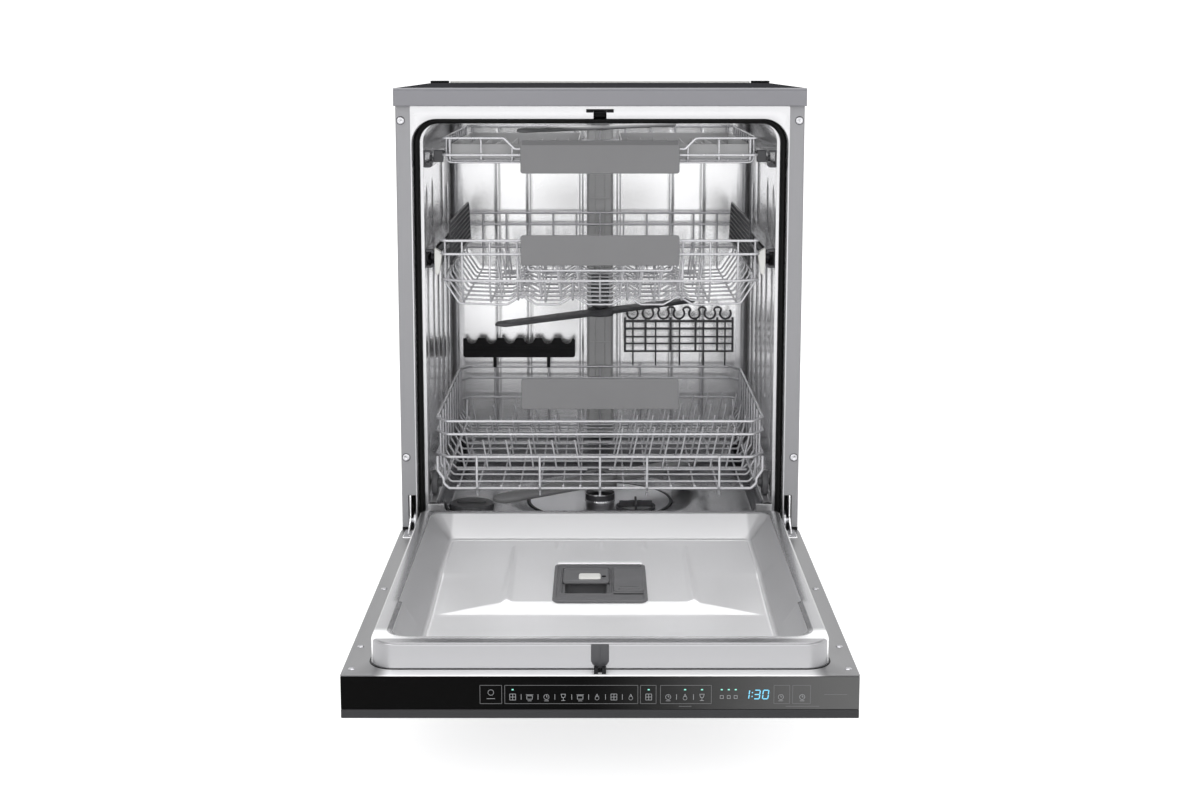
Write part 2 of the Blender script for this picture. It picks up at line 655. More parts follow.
def front_frame():
    hi = span("front_frame")[1]
    shape = [(POST_IN, 788.9, 2, 1), (POST_IN, 788.9, 2, 0.1), (RECESS_HW + 1.4, RECESS_TOP + 1.4, 37.4, 0),
             (RECESS_HW + 0.4, RECESS_TOP + 0.4, 36.4, 0.4), (RECESS_HW, RECESS_TOP, 36, 1.4),
             (RECESS_HW, RECESS_TOP, 36, hi.y - 3), (RECESS_HW - 0.5, RECESS_TOP - 0.4, 35.6, hi.y - 1.4),
             (RECESS_HW - 2, RECESS_TOP - 1.2, 34.6, hi.y - 0.9), (TUB_HW, TUB_TOP, TUB_R, hi.y - 0.8)]
    low = 164
    rows = [[(p.x, y, p.y) for p in arch(hw, low, top, r)] for hw, top, r, y in shape]
    face = loft("frame_face", rows, False, False, 35)
    sill = prism("sill", [(2, 146), (2, 162.6), (2.5, 163.6), (3.5, 164), (32.5, 164), (33.5, 163.6),
                          (34, 162.6), (34, 146), (33, 146), (33, 163), (3, 163), (3, 146)],
                 "x", -RECESS_HW, RECESS_HW, 0, 0)
    sheet = joined("front_frame_sheet", [face, sill])
    cut_slot(sheet, (-9.5, -1, 760), (9.5, 12, 784))
    piece(sheet, "frame", "cabinet", "tub_steel", "front_frame")


def gasket():
    lo, hi = span("tub_gasket")
    profile = [(0, hi.y - 0.2), (0, lo.y + 3), (0.6, lo.y + 1.2), (2.2, lo.y + 0.2), (4.2, lo.y),
               (6.4, lo.y + 0.8), (8.2, lo.y + 2.8), (9.6, lo.y + 5.4), (10.8, lo.y + 8),
               (11.2, lo.y + 10.5), (10.9, hi.y - 0.6), (6, hi.y - 0.2), (0, hi.y - 0.2)]
    rows = []
    for inset, y in profile:
        pts = arch(hi.x - inset * 0.67, 164.3, hi.z - inset * 0.68, RECESS_R - 0.2 - inset * 0.67)
        rows.append([(p.x, y, p.y) for p in pts])
    piece(loft("door_gasket", rows, False, False, 60), "seal", "cabinet", "seal_rubber", "tub_gasket")
    lo, hi = span("sill_seal")
    outline = [(lo.y, lo.z), (hi.y, lo.z), (hi.y, lo.z + 1.6), (31.4, lo.z + 2.2), (31.4, lo.z + 3)]
    outline += [(30 + 3 * math.cos(a), lo.z + 5.5 + 3 * math.sin(a))
                for a in (math.radians(-55 + 25 * i) for i in range(12))]
    outline += [(28.6, lo.z + 2.2), (lo.y, lo.z + 1.6)]
    piece(prism("sill_lip", outline, "x", lo.x, hi.x, 0.15, 1), "seal", "cabinet", "seal_rubber",
          "sill_seal")


def tub():
    """The wrap with its stamped slots, the back wall with its upright creases."""
    def stamped(y, z):
        """Upright slots with round ends, pressed outwards: place, half width, foot and head."""
        deep = 0
        for c, half, z0, z1 in ((84, 5.5, 277, 655), (171, 7.5, 336, 658), (250, 7, 230, 520),
                                (330, 7, 590, 690), (330, 7, 230, 530), (420, 7, 230, 640)):
            reach = max(z0 - z, z - z1, 0)
            off = math.hypot(y - c, reach) - half
            deep = max(deep, 3.4 * min(max(1 - off / 3.2, 0), 1))
        return deep
    ys = sorted(set([43, 46, 50, 60, 110, 130, 150, 200, 220, 290, 370, 390, 450, 490, TUB_BACK]
                    + [c + s * (half + d) for c, half in ((84, 5.5), (171, 7.5), (250, 7), (330, 7), (420, 7))
                       for s in (-1, 1) for d in (3.4, 3.1, 1.6, 0, -1, -5)]))
    rows = []
    for y in ys:
        row = []
        for p in arch(TUB_HW, TRACK_Z, TUB_TOP, TUB_R, 12, 110, 24):
            side = 1 if abs(abs(p.x) - TUB_HW) < 0.01 else 0
            push = side * stamped(y, p.y)
            row.append((p.x + math.copysign(push, p.x), y, p.y))
        rows.append(row)
    inner = loft("wrap", rows, False, False, 60)
    thicken(inner, 0.9, 1)
    piece(inner, "tub", "cabinet", "tub_steel", "tub_wrap")

    def crease(x, z):
        up = min(max((z - 205) / 25, 0), 1) * min(max((735 - z) / 25, 0), 1)
        deep = 0
        for c in (-180, -125, 125, 180):
            deep += 2.4 * math.exp(-((x - c) / 2.8) ** 2)
        for c in (-33, 33):
            deep -= 2.2 * math.exp(-((x - c) / 2.6) ** 2)
        return deep * up
    xs = sorted(set([-262.9, 262.9, -240, -210, 0, 210, 240, 60, 80, 100, -60, -80, -100]
                    + [c + 2 * i for c in (-180, -125, -33, 33, 125, 180) for i in range(-4, 5)]))
    zs = [140, 170, 203, 209, 215, 221, 229, 260, 400, 550, 700, 708, 714, 720, 726, 732, 738, 750, 765.9]
    rows = [[(x, TUB_BACK - crease(x, z), z) for x in xs] for z in zs]
    wall = loft("back_wall", rows, False, False, 60)
    thicken(wall, 0.9, 1)
    piece(wall, "tub_back", "cabinet", "tub_steel", "tub_back")


def tub_floor():
    """Rings from the round filter seat out to the floor's edge and up its sides, and two tracks."""
    counts = [(8, 16)] * 4
    plan = []
    for hw, y0, y1, cut in ((238, 42, 495, 30), (243, 37, 500, 26), (245.5, 35.6, 501.5, 24),
                            (247, 34.9, 502.3, 22), (249, 34.6, 502.8, 20)):
        plan.append(ring([(-hw, y0, cut), (hw, y0, cut), (hw, y1, cut), (-hw, y1, cut)], counts))
    rows = []
    for r, z in ((119, 133.9), (122, 134), (125, 134.6), (148, 139.2), (151, 139.8), (156, 140)):
        row = []
        for q in plan[0]:
            a = math.atan2(q.y - ARM_Y, q.x)
            row.append((r * math.cos(a), ARM_Y + r * math.sin(a), z))
        rows.append(row)
    for pts, rise in zip(plan, (0, 0.03, 0.15, 0.6, 1)):
        row = []
        for q in pts:
            top = 163.5 if q.y < 60 and abs(q.x) < 236 else TRACK_Z
            row.append((q.x, q.y, 140 + (top - 140) * rise))
        rows.append(row)
    pan = loft("floor_pan", rows, True, False, 50)
    thicken(pan, 0.7, -1)
    piece(pan, "floor", "cabinet", "tub_steel", "tub_floor")
    tracks = []
    for s in (-1, 1):
        outline = [(248.4, TRACK_Z - 9), (248.6, TRACK_Z - 1.5), (249.2, TRACK_Z - 0.4), (250.2, TRACK_Z),
                   (261.9, TRACK_Z), (261.9, TRACK_Z - 1), (250.4, TRACK_Z - 1), (249.4, TRACK_Z - 2),
                   (249.2, TRACK_Z - 9)]
        tracks.append(prism("track", [(s * x, z) for x, z in outline], "y", 44, 502.5, 0, 0))
    piece(joined("floor_tracks", tracks), "tub_back", "cabinet", "tub_steel", "tub_floor")


def screw_cross(centre, turn, half_length, half_width, axis, a0, a1):
    """The two bars of a cross recess, turned by an angle in degrees."""
    bars = []
    for angle in (turn, turn + 90):
        c, w = math.cos(math.radians(angle)), math.sin(math.radians(angle))
        corners = ((-half_length, -half_width), (half_length, -half_width), (half_length, half_width),
                   (-half_length, half_width))
        outline = [(centre[0] + c * u - w * v, centre[1] + w * u + c * v) for u, v in corners]
        bars.append(prism("cross", outline, axis, a0, a1, 0, 0))
    return bars


def small_frame_parts():
    heads = []
    for x in (-289.7, 289.7):
        for z in (267, 768):
            heads.append(turned("head", [(0, -0.55), (1.8, -0.6), (2.2, -0.9), (3.6, -1.15), (4.4, -1),
                                         (5.2, -0.55), (5.45, 0), (3, 0.2), (0, 0.2)],
                                (x, 0, z), "y", 32, 50))
            heads += screw_cross((x, z), 45, 1.9, 0.35, "y", -0.72, -0.5)
    piece(joined("frame_screw_heads", heads), "screw", "cabinet", "screw_steel", "frame_screws")
    rings = [turned("ring", [(5.2, -0.1), (6.3, -0.12), (6.5, 0.1), (5.2, 0.1)], (x, 0, z), "y", 32, 50)
             for x in (-289.7, 289.7) for z in (267, 768)]
    piece(joined("frame_screw_washers", rings), "dark", "cabinet", "screw_steel")
    corners = [slab("corner", (min(s * 237.5, s * 261.5), 33.2, 164.2), (max(s * 237.5, s * 261.5), 34.2,
                    TRACK_Z - 0.6), 0.3, 2) for s in (-1, 1)]
    piece(joined("sill_corners", corners), "tub_back", "cabinet", "tub_steel")
    parts = [slab("plate_left", (-20, -1.4, 779.4), (-9.6, 0, 784.4), 0.5),
             slab("plate_right", (9.6, -1.4, 779.4), (20, 0, 784.4), 0.5),
             slab("plate_top", (-20, -1.4, 782.2), (20, 0, 784.4), 0.5),
             slab("box", (-11.3, 1, 772), (-9.2, 26, 787), 0.4),
             slab("box", (9.2, 1, 772), (11.3, 26, 787), 0.4),
             slab("box", (-11.3, 24.8, 772), (11.3, 26, 787), 0.3),
             slab("box", (-11.3, 1, 785.8), (11.3, 26, 787), 0.3),
             turned("bar", [(0, -9.2), (2, -9.2), (2, 9.2), (0, 9.2)], (0, 10, 780), "x", 24)]
    piece(joined("striker", parts), "black", "cabinet", "black_plastic", "latch_striker")


def duct():
    wide = [(-23, 502.6), (-23, 493), (-19, 488.6), (-9, 488), (-8, 489.4), (8, 489.4), (9, 488),
            (19, 488.6), (23, 493), (23, 502.6)]
    parts = [prism("riser", wide, "z", 190, 757, 1.2, 3),
             slab("branch", (-14, 232, 757.2), (14, 497, 764.7), 2.2, 4),
             turned("hub", [(0, 753.5), (15.5, 753.5), (17, 755), (17, 764.5), (0, 764.5)],
                    (0, ARM_Y, 0)),
             turned("stub", [(6, 743), (6, 754), (4.6, 754), (4.6, 743), (6, 743)], (0, ARM_Y, 0)),
             turned("port", [(14.9, 490), (15, 485), (14, 484), (11, 484), (10, 485), (10, 497), (0, 497)],
                    (0, 0, 468), "y")]
    for z in range(230, 740, 64):
        if abs(z - 468) > 26:
            parts.append(slab("rib", (-17, 487.7, z), (17, 489.6, z + 3), 0.6, 2))
    piece(joined("duct", parts), "duct", "cabinet", "grey_plastic", "supply_duct")


def rails():
    parts, caps = [], []
    for s in (-1, 1):
        for z0, z1 in ((548, 574), (698, 722)):
            outline = [(261.8, z0 + 0.5), (261.3, z0), (250.8, z0), (250, z0 + 0.8), (250, z0 + 4.8),
                       (251.2, z0 + 4.8), (251.2, z0 + 1.3), (260.6, z0 + 1.3), (260.6, z1 - 1.3),
                       (251.2, z1 - 1.3), (251.2, z1 - 4.8), (250, z1 - 4.8), (250, z1 - 0.8),
                       (250.8, z1), (261.3, z1), (261.8, z1 - 0.5)]
            parts.append(prism("rail", [(s * x, z) for x, z in outline], "y", 44.5, 490, 0.15, 1))
            out = [(261.9, z0 - 1), (261.9, z1 + 1), (253, z1 + 1)]
            out += [(253 - 4.4 * math.sin(a), z1 - 3.4 + 4.4 * math.cos(a))
                    for a in (math.radians(18 * i) for i in range(1, 6))]
            out += [(248.6, z1 - 5.2), (252.4, z1 - 5.2), (252.4, z1 - 2.6), (260.2, z1 - 2.6),
                    (260.2, z0 + 2.6), (252.4, z0 + 2.6), (252.4, z0 + 5.2), (248.6, z0 + 5.2)]
            out += [(253 - 4.4 * math.cos(a), z0 + 3.4 - 4.4 * math.sin(a))
                    for a in (math.radians(18 * i) for i in range(1, 6))]
            caps.append(prism("cap", [(s * x, z) for x, z in out], "y", 43.2, 54, 0.5, 2))
    piece(joined("rails", parts), "frame", "cabinet", "bracket_steel", "rack_rails")
    piece(joined("rail_caps", caps), "dark", "cabinet", "bracket_steel")


def spray_arm(name, node, body, half, width, z0, z1, angle, hub, look, slot):
    """A blown plastic blade: domed in section, wider at the middle, with raised nozzles."""
    rows = []
    n = 28
    hub_r, hub_z0, hub_z1, bore = hub
    mid = (z0 + z1) / 2
    for t in [-1 + 2 * i / 40 for i in range(41)]:
        reach = abs(t)
        w = width / 2 * (1 - 0.34 * reach) * (1 - max(0, (reach - 0.93) / 0.07) ** 2 * 0.75)
        thick = (z1 - z0) / 2 * (1 - max(0, (reach - 0.95) / 0.05) ** 2 * 0.5)
        row = []
        for i in range(n):
            a = 2 * math.pi * i / n
            c, s = math.cos(a), math.sin(a)
            u = math.copysign(abs(c) ** 0.7, c) * w
            v = math.copysign(abs(s) ** 0.55, s) * thick
            row.append((t * (half - 0.5), u, mid + v))
        rows.append(row)
    blade = loft("blade", rows, True, True, 70)
    parts = [blade]
    parts.append(turned("hub", [(bore, hub_z0), (hub_r - 1.5, hub_z0), (hub_r, hub_z0 + 1.5),
                                (hub_r, hub_z1 - 2), (hub_r - 2, hub_z1), (bore + 3, hub_z1),
                                (bore, hub_z1 - 1), (bore, hub_z0)], (0, 0, 0)))
    for s in (-1, 1):
        for i in range(1, 5):
            x = s * (half * i / 4 - 14)
            parts.append(turned("nozzle", [(1.4, z1 - 1), (1.6, z1 + 0.2), (2.6, z1 + 0.3), (4, z1 - 0.9)],
                                (x, s * 4, 0), "z", 20))
    arm = joined(name, parts)
    dark = [turned("bore", [(0, z1 - 0.35), (1.75, z1 - 0.35)], (s * (half * i / 4 - 14), s * 4, 0), "z", 16)
            for s in (-1, 1) for i in range(1, 5)]
    if node == "lower_arm":
        dark.append(turned("cap", [(0, hub_z1 + 0.2), (bore + 2, hub_z1 + 0.2), (bore + 2.6, hub_z1 - 0.6)],
                           (0, 0, 0)))
    else:
        dark.append(turned("seat", [(bore + 0.2, hub_z0 - 0.1), (bore + 4, hub_z0 - 0.1)], (0, 0, 0)))
    holes = joined(name + "_nozzles", dark)
    for obj in (arm, holes):
        for v in obj.data.vertices:
            x, y = v.co.x / MM, (v.co.y / MM - FRONT)
            a = math.radians(angle)
            v.co.x = (x * math.cos(a) - y * math.sin(a)) * MM
            v.co.y = (x * math.sin(a) + y * math.cos(a) + ARM_Y + FRONT) * MM
    piece(arm, look, body, slot, node)
    piece(holes, "black", body, slot)


def arms():
    spray_arm("ceiling_blade", "ceiling_arm", "ceiling_arm", 182, 36, 744.6, 752, 46.5,
              (17, 744.6, 753, 6.1), "grey", "grey_plastic")
    spray_arm("mid_blade", "mid_arm", "mid_arm", 212, 42, 446, 454, 40.8,
              (22, 444, 455.4, 6.1), "dark", "dark_plastic")
    spray_arm("lower_blade", "lower_arm", "lower_arm", 212, 54, 164, 175, 38.4,
              (28, 156.2, 180, 8.1), "grey", "grey_plastic")


def filters():
    r = span("filter_plate")[1].x
    z = 135
    rows = []
    for radius, up in ((24, 14), (24, 2), (25.5, 0.2), (28, 0), (60, -0.3), (100, 0), (r - 4, 0.1),
                       (r - 1.5, 0.6), (r, 0)):
        rows.append([(radius * math.cos(a), ARM_Y + radius * math.sin(a), z + up)
                     for a in (2 * math.pi * i / 96 for i in range(96))])
    plate = loft("mesh_plate", rows, True, False, 40)
    piece(plate, "mesh", "cabinet", "mesh_steel", "filter_plate")
    rim = turned("plate_rim", [(r - 0.4, z - 1.4), (r, z - 0.6), (r - 0.3, z + 1), (r - 2.2, z + 1.3),
                               (r - 3.6, z + 0.5), (r - 4, z - 0.4)], (0, ARM_Y, 0), "z", 96)
    hub = turned("post", [(24, z - 0.5), (24.2, 147), (22, 148.6), (9.5, 148.8), (8, 150), (8, 182.2),
                          (7, 183), (0, 183)], (0, ARM_Y, 0), "z", 40)
    piece(joined("filter_post", [rim, hub]), "dark", "cabinet", "mesh_steel")
    lo, hi = span("filter_cylinder")
    cx, cy = (lo.x + hi.x) / 2, (lo.y + hi.y) / 2
    cup = turned("cup", [(0, 70.2), (27, 70.2), (28.8, 72), (28.9, 134), (31.9, 135.6), (32, 139.4),
                         (31, 140.2), (28.6, 140), (27.2, 138), (27, 76), (0, 75)], (cx, cy, 0), "z", 56)
    fins = [slab("fin", (cx - 26.6, cy - 1.8, 137.6), (cx + 26.6, cy + 1.8, 147.6), 0.9),
            slab("fin", (cx - 1.8, cy - 26.6, 137.6), (cx + 1.8, cy + 26.6, 147.6), 0.9)]
    piece(joined("filter_insert", [cup] + fins), "dark", "filter_cylinder", "dark_plastic",
          "filter_cylinder")
    lo, hi = span("salt_cap")
    cx, cy = (lo.x + hi.x) / 2, (lo.y + hi.y) / 2
    rows = []
    for radius, z, grip in ((0, 151.4, 0), (24, 151.4, 0), (29, 151.8, 0), (32, 151.6, 0), (34.6, 151, 1),
                            (35.4, 149.6, 1), (36, 144.4, 1), (35.6, 143.2, 1), (23.4, 143, 0),
                            (23.4, 127, 0), (0, 127, 0)):
        row = []
        for i in range(144):
            a = 2 * math.pi * i / 144
            rr = radius - grip * (0.9 if i % 6 in (0, 1) else 0)
            row.append((cx + rr * math.cos(a), cy + rr * math.sin(a), z))
        rows.append(row)
    cap = loft("cap", rows, True, False, 35)
    grip = slab("grip", (cx - 23, cy - 3.4, 151.2), (cx + 23, cy + 3.4, 154.9), 1.2, 4)
    piece(joined("salt_cap_moulding", [cap, grip]), "cap", "salt_cap", "dark_plastic", "salt_cap")


# ---------------------------------------------------------------- door

def tray_height(x, d):
    """The tray's floor: it falls gently to the sides of the dispenser, and a facet takes it down to
    the free end."""
    aside = min(max((abs(x) - 122) / 88, 0), 1)
    along = min(max((d - SIDE_FALL) / (FACET_END - SIDE_FALL), 0), 1)
    step = min(max((d - SIDE_FALL + FALL_STEP) / FALL_STEP, 0), 1)
    platform = FACET_DROP * (1 - aside * step * (0.3 + 0.7 * along))
    return 158 - FACET_DROP + min(platform, 0.352 * max(FACET_END - d, 0))


def tray_jog(x, d):
    """The recess is a little narrower near the free end."""
    return math.copysign(5 * min(max((d - 433) / 3, 0), 1), x)


def door_tray():
    counts = [(12, 90), (10, 40), (10, 90), (12, 40)]

    def outline(hw, d0, d1, free, hinge):
        return ring([(hw, -d1, free), (hw, -d0, hinge), (-hw, -d0, hinge), (-hw, -d1, free)], counts)
    hw, d0, d1 = DOOR_HW, 4.5, DOOR_END - 1
    stack = [(hw, d0, d1, 2, 2, lambda x, d: 154.9), (hw, d0, d1, 2, 2, lambda x, d: 155.6),
             (hw - 0.4, d0 + 0.4, d1 - 0.4, 2, 2, lambda x, d: 156)]
    t = TRAY_HW
    stack += [(t + 1.6, d0 + 0.6, TRAY_D1 + 1.6, 31, 12, lambda x, d: 156),
              (t + 0.4, d0 + 0.9, TRAY_D1 + 0.4, 30, 12, lambda x, d: 156.5),
              (t, d0 + 1.1, TRAY_D1, 30, 12, lambda x, d: 158),
              (t - 0.4, d0 + 1.5, TRAY_D1 - 0.4, 30, 12, lambda x, d: RIM_Z - 3)]
    for a in (20, 40, 60, 80, 90):
        s, c = math.sin(math.radians(a)), math.cos(math.radians(a))
        inset = 0.4 + 2.8 * (1 - c)
        stack.append((t - inset, d0 + 1.1 + inset, TRAY_D1 - inset, 30, 12,
                      lambda x, d, s=s: RIM_Z - 3 + 2.95 * s))
    rim = RIM_Z - 0.05
    stack += [(253, 18, 563, 26, 16, lambda x, d: rim), (251.2, 19.8, 561.2, 25, 16, lambda x, d: rim - 0.35),
              (250, 21.4, 560, 24, 16, lambda x, d: rim - 1.5)]
    steps = 10
    edge = len(stack) - 2
    for i in range(1, steps + 1):
        f = i / steps
        stack.append((250 - 29 * f * 0.93, 21.4 + 41.6 * f * 0.93, 560 - 12 * f * 0.93,
                      24 - 4 * f, 16 - 6 * f,
                      lambda x, d, f=f: rim - 1.5 + (tray_height(x, d) + 2 - rim + 1.5) * f))
    for inset, up in ((-1.6, 1.1), (0, 0.5), (2.4, 0.12), (5, 0)):
        stack.append((221 - inset, 63 + inset, 548 - inset, 20, 10,
                      lambda x, d, up=up: tray_height(x, d) + up))
    rows = []
    for k, (w, a, b, free, hinge, height) in enumerate(stack):
        row = []
        fade = min(max(1 - (k - edge - 1) / 8, 0), 1) if k >= edge else 0
        for p in outline(w, a, b, free, hinge):
            on_side = fade if abs(p.x) > w - 12 else 0
            row.append((p.x - on_side * tray_jog(p.x, -p.y), p.y, height(p.x, -p.y)))
        rows.append(row)
    margin = loft("door_margin", rows[:5], True, False, 28)
    thicken(margin, 0.7, 0)
    piece(margin, "plate", "door", "door_steel", "door_inner_panel")
    rim_sheet = loft("door_rim", rows[4:edge + 1], True, False, 28)
    thicken(rim_sheet, 0.7, 0)
    piece(rim_sheet, "rim", "door", "door_steel", "door_inner_panel")
    foot = [(p.x, p.y, 156.4) for p in outline(t + 1.6, d0 + 0.6, TRAY_D1 + 1.6, 31, 12)]
    piece(wires("door_foot_line", [foot], 0.75, (0,)), "seal", "door", "door_steel")
    sheet = loft("tray", rows[edge:], True, False, 28)

    def pressed(x, d):
        up = 0
        for c in TRAY_RIBS:
            along = min(max((d - 92) / 254, 0), 1)
            f = min(max((d - 92) / 14, 0), 1) * min(max((350 - d) / 8, 0), 1)
            up += (1.9 + 1.1 * along) * f * math.exp(-((x - c) / (2.2 + 3 * along)) ** 2)
        for c in SHORT_RIBS:
            f = min(max((d - 74) / 6, 0), 1) * min(max((112 - d) / 6, 0), 1)
            up += 2.5 * f * math.exp(-((x - c) / 5) ** 4)
        return up
    cut_x, cut0, cut1 = DISP_HI.x - 3.5, -DISP_HI.y + 3.5, -DISP_LO.y - 3.5
    xs = sorted(set([-cut_x, cut_x, -90, 90, -30, 30]
                    + [s * (137 + 4 * i) for s in (-1, 1) for i in range(21)]
                    + [c + 2 * i for c in TRAY_RIBS + SHORT_RIBS for i in range(-6, 7)]))
    ds = sorted(set([67, 400, 440, 480, 510, 544, cut0, 343, 385, 390, 92, 97, 102, 160, 200,
                     74, 77, 80, 106, 109, 112, 130, 222, 226, 229, 233, 237, 240, 256, 272, 288, 304,
                     320, 334]
                    + [346 + 1.5 * i for i in range(19)]))
    cut1 = 346
    verts = [(x, -d, tray_height(x, d) - 0.03 + pressed(x, d)) for d in ds for x in xs]
    faces = []
    n = len(xs)
    for r in range(len(ds) - 1):
        for i in range(n - 1):
            inside = (abs((xs[i] + xs[i + 1]) / 2) < cut_x and cut0 < (ds[r] + ds[r + 1]) / 2 < cut1)
            if not inside:
                faces.append((r * n + i, r * n + i + 1, (r + 1) * n + i + 1, (r + 1) * n + i))
    floor = add_mesh("tray_floor", verts, faces, 20)
    whole = joined("door_tray", [sheet, floor])
    whole.data.set_sharp_from_angle(angle=math.radians(28))
    thicken(whole, 0.7, 0)
    piece(whole, "tray", "door", "door_steel", "door_inner_panel")


def door_case():
    hi = span("door_outer_panel")[1]
    z0, z1 = DOOR_LOW, 154.6
    outline = [(-hi.x + 0.0, z1), (-hi.x, z0 + 1.6)]
    outline += [(-hi.x + 1.6 - 1.6 * math.cos(a), z0 + 1.6 - 1.6 * math.sin(a))
                for a in (math.radians(18 * i) for i in range(1, 6))]
    outline += [(-x, z) for x, z in outline[::-1]]
    outline += [(hi.x - 1, z1), (hi.x - 1, z0 + 1.1), (-hi.x + 1, z0 + 1.1), (-hi.x + 1, z1)]
    shell = prism("shell", outline, "y", -596, -5, 0, 0)
    ends = [slab("end", (-hi.x + 1, -6, z0 + 1), (hi.x - 1, -5, z1), 0.2, 1),
            slab("end", (-hi.x + 1, -596, z0 + 1), (hi.x - 1, -595, z1), 0.2, 1)]
    ribs = [slab("rib", (-270, -d - 14, z0 + 0.02), (270, -d + 14, z0 + 1.05), 0.3, 1)
            for d in (120, 300, 480)]
    piece(joined("door_case", [shell] + ends + ribs), "outer", "door", "outer_steel", "door_outer_panel")
    heads = []
    pins = [turned("pin", [(3.2, PLATE_Z), (3.1, PLATE_Z + 0.6), (2.2, PLATE_Z + 1.1), (0, PLATE_Z + 1.3)],
                   (x, -581, 0), "z", 32, 50) for x in (-157, -26, 26, 157)]
    piece(joined("panel_screw_heads", pins), "dark", "door", "screw_steel")
    for x in (-288, 288):
        for d in (288, 511, 586):
            z = PLATE_Z
            heads.append(turned("head", [(4.2, z), (4.1, z + 0.6), (3.2, z + 1.2), (1.9, z + 1.45),
                                         (1.6, z + 1.1), (0, z + 1.1)], (x, -d, 0), "z", 32, 50))
            heads += screw_cross((x, -d), 20, 1.7, 0.3, "z", z + 1.05, z + 1.18)
    piece(joined("door_screw_heads", heads), "screw", "door", "screw_steel", "door_screws")
    arm_parts = []
    for s in (-1, 1):
        x0, x1 = sorted((s * 283.6, s * 285.9))
        out = [(-30, 157.4), (-24, 156.6), (-6, 156.6), (1, 158), (9.6, 159.8), (15.8, 163), (18.2, 168),
               (16.8, 174), (12.6, 190), (8.6, 206), (7.2, 209), (4, 210), (0.8, 208.6), (0, 205),
               (0.5, 190), (0.2, 178), (-6, 170), (-20, 162)]
        arm_parts.append(prism("arm", out, "x", x0, x1, 0.5, 3))
        x0, x1 = sorted((s * 277.2, s * 291.8))
        arm_parts.append(slab("foot", (x0, -47.8, PLATE_Z - 0.3), (x1, -5.6, PLATE_Z + 1.9), 0.7, 3))
        for d in (14, 38):
            arm_parts.append(turned("rivet", [(3, 157.6), (2.8, 158.2), (1.8, 158.6), (0, 158.7)],
                                    (s * 280.4, -d, 0), "z", 24))
        arm_parts.append(turned("pin", [(4.02, s * 283.4), (4.02, s * 286.1)], PIVOT, "x", 24))
    piece(joined("hinge_arm_pair", arm_parts), "hinge", "door", "arm_steel", "hinge_arms")
    shield = [(-10.4, RIM_Z - 0.4), (-10.4, 166), (-8.4, 162.6), (-4.6, 159.2), (-3.6, 158.2), (3.6, 158.2),
              (4.6, 159.2), (8.4, 162.6), (10.4, 166), (10.4, RIM_Z - 0.4)]
    parts = [prism("shield", shield, "y", -588.4, -586.7, 0.5, 3),
             slab("line", (-0.5, -588.8, 167), (0.5, -588.2, RIM_Z - 3), 0.2, 1),
             slab("bar", (-7.4, -588.8, 164.6), (7.4, -588.2, 165.8), 0.2, 1),
             slab("body", (-21.8, -597.8, 131.2), (-8.6, -562, 154.6), 0.8),
             slab("body", (8.6, -597.8, 131.2), (21.8, -562, 154.6), 0.8),
             slab("body", (-21.8, -585.6, 131.2), (21.8, -540.2, 146.4), 0.8)]
    piece(joined("latch_insert", parts), "dark", "door", "dark_plastic", "latch_housing")
    hook = [(-602.4, 152.6), (-590, 152.2), (-589.4, 153), (-589.6, 157.4), (-591, 158.6), (-592.6, 162.4),
            (-594.2, 163), (-599, 163), (-600.6, 162), (-602.4, 157.6)]
    parts = [prism("side", hook, "x", x0, x0 + 4.6, 0.5, 3) for x0 in (-6.9, 2.3)]
    parts += [slab("web", (-3, -597, 152.4), (3, -590, 158), 0.4, 2),
              turned("axle", [(0, -7.8), (1.95, -7.8), (1.95, 7.8), (0, 7.8)], (0, -594, 152), "x", 24)]
    piece(joined("latch_claw", parts), "black", "latch_hook", "black_plastic", "latch_hook")


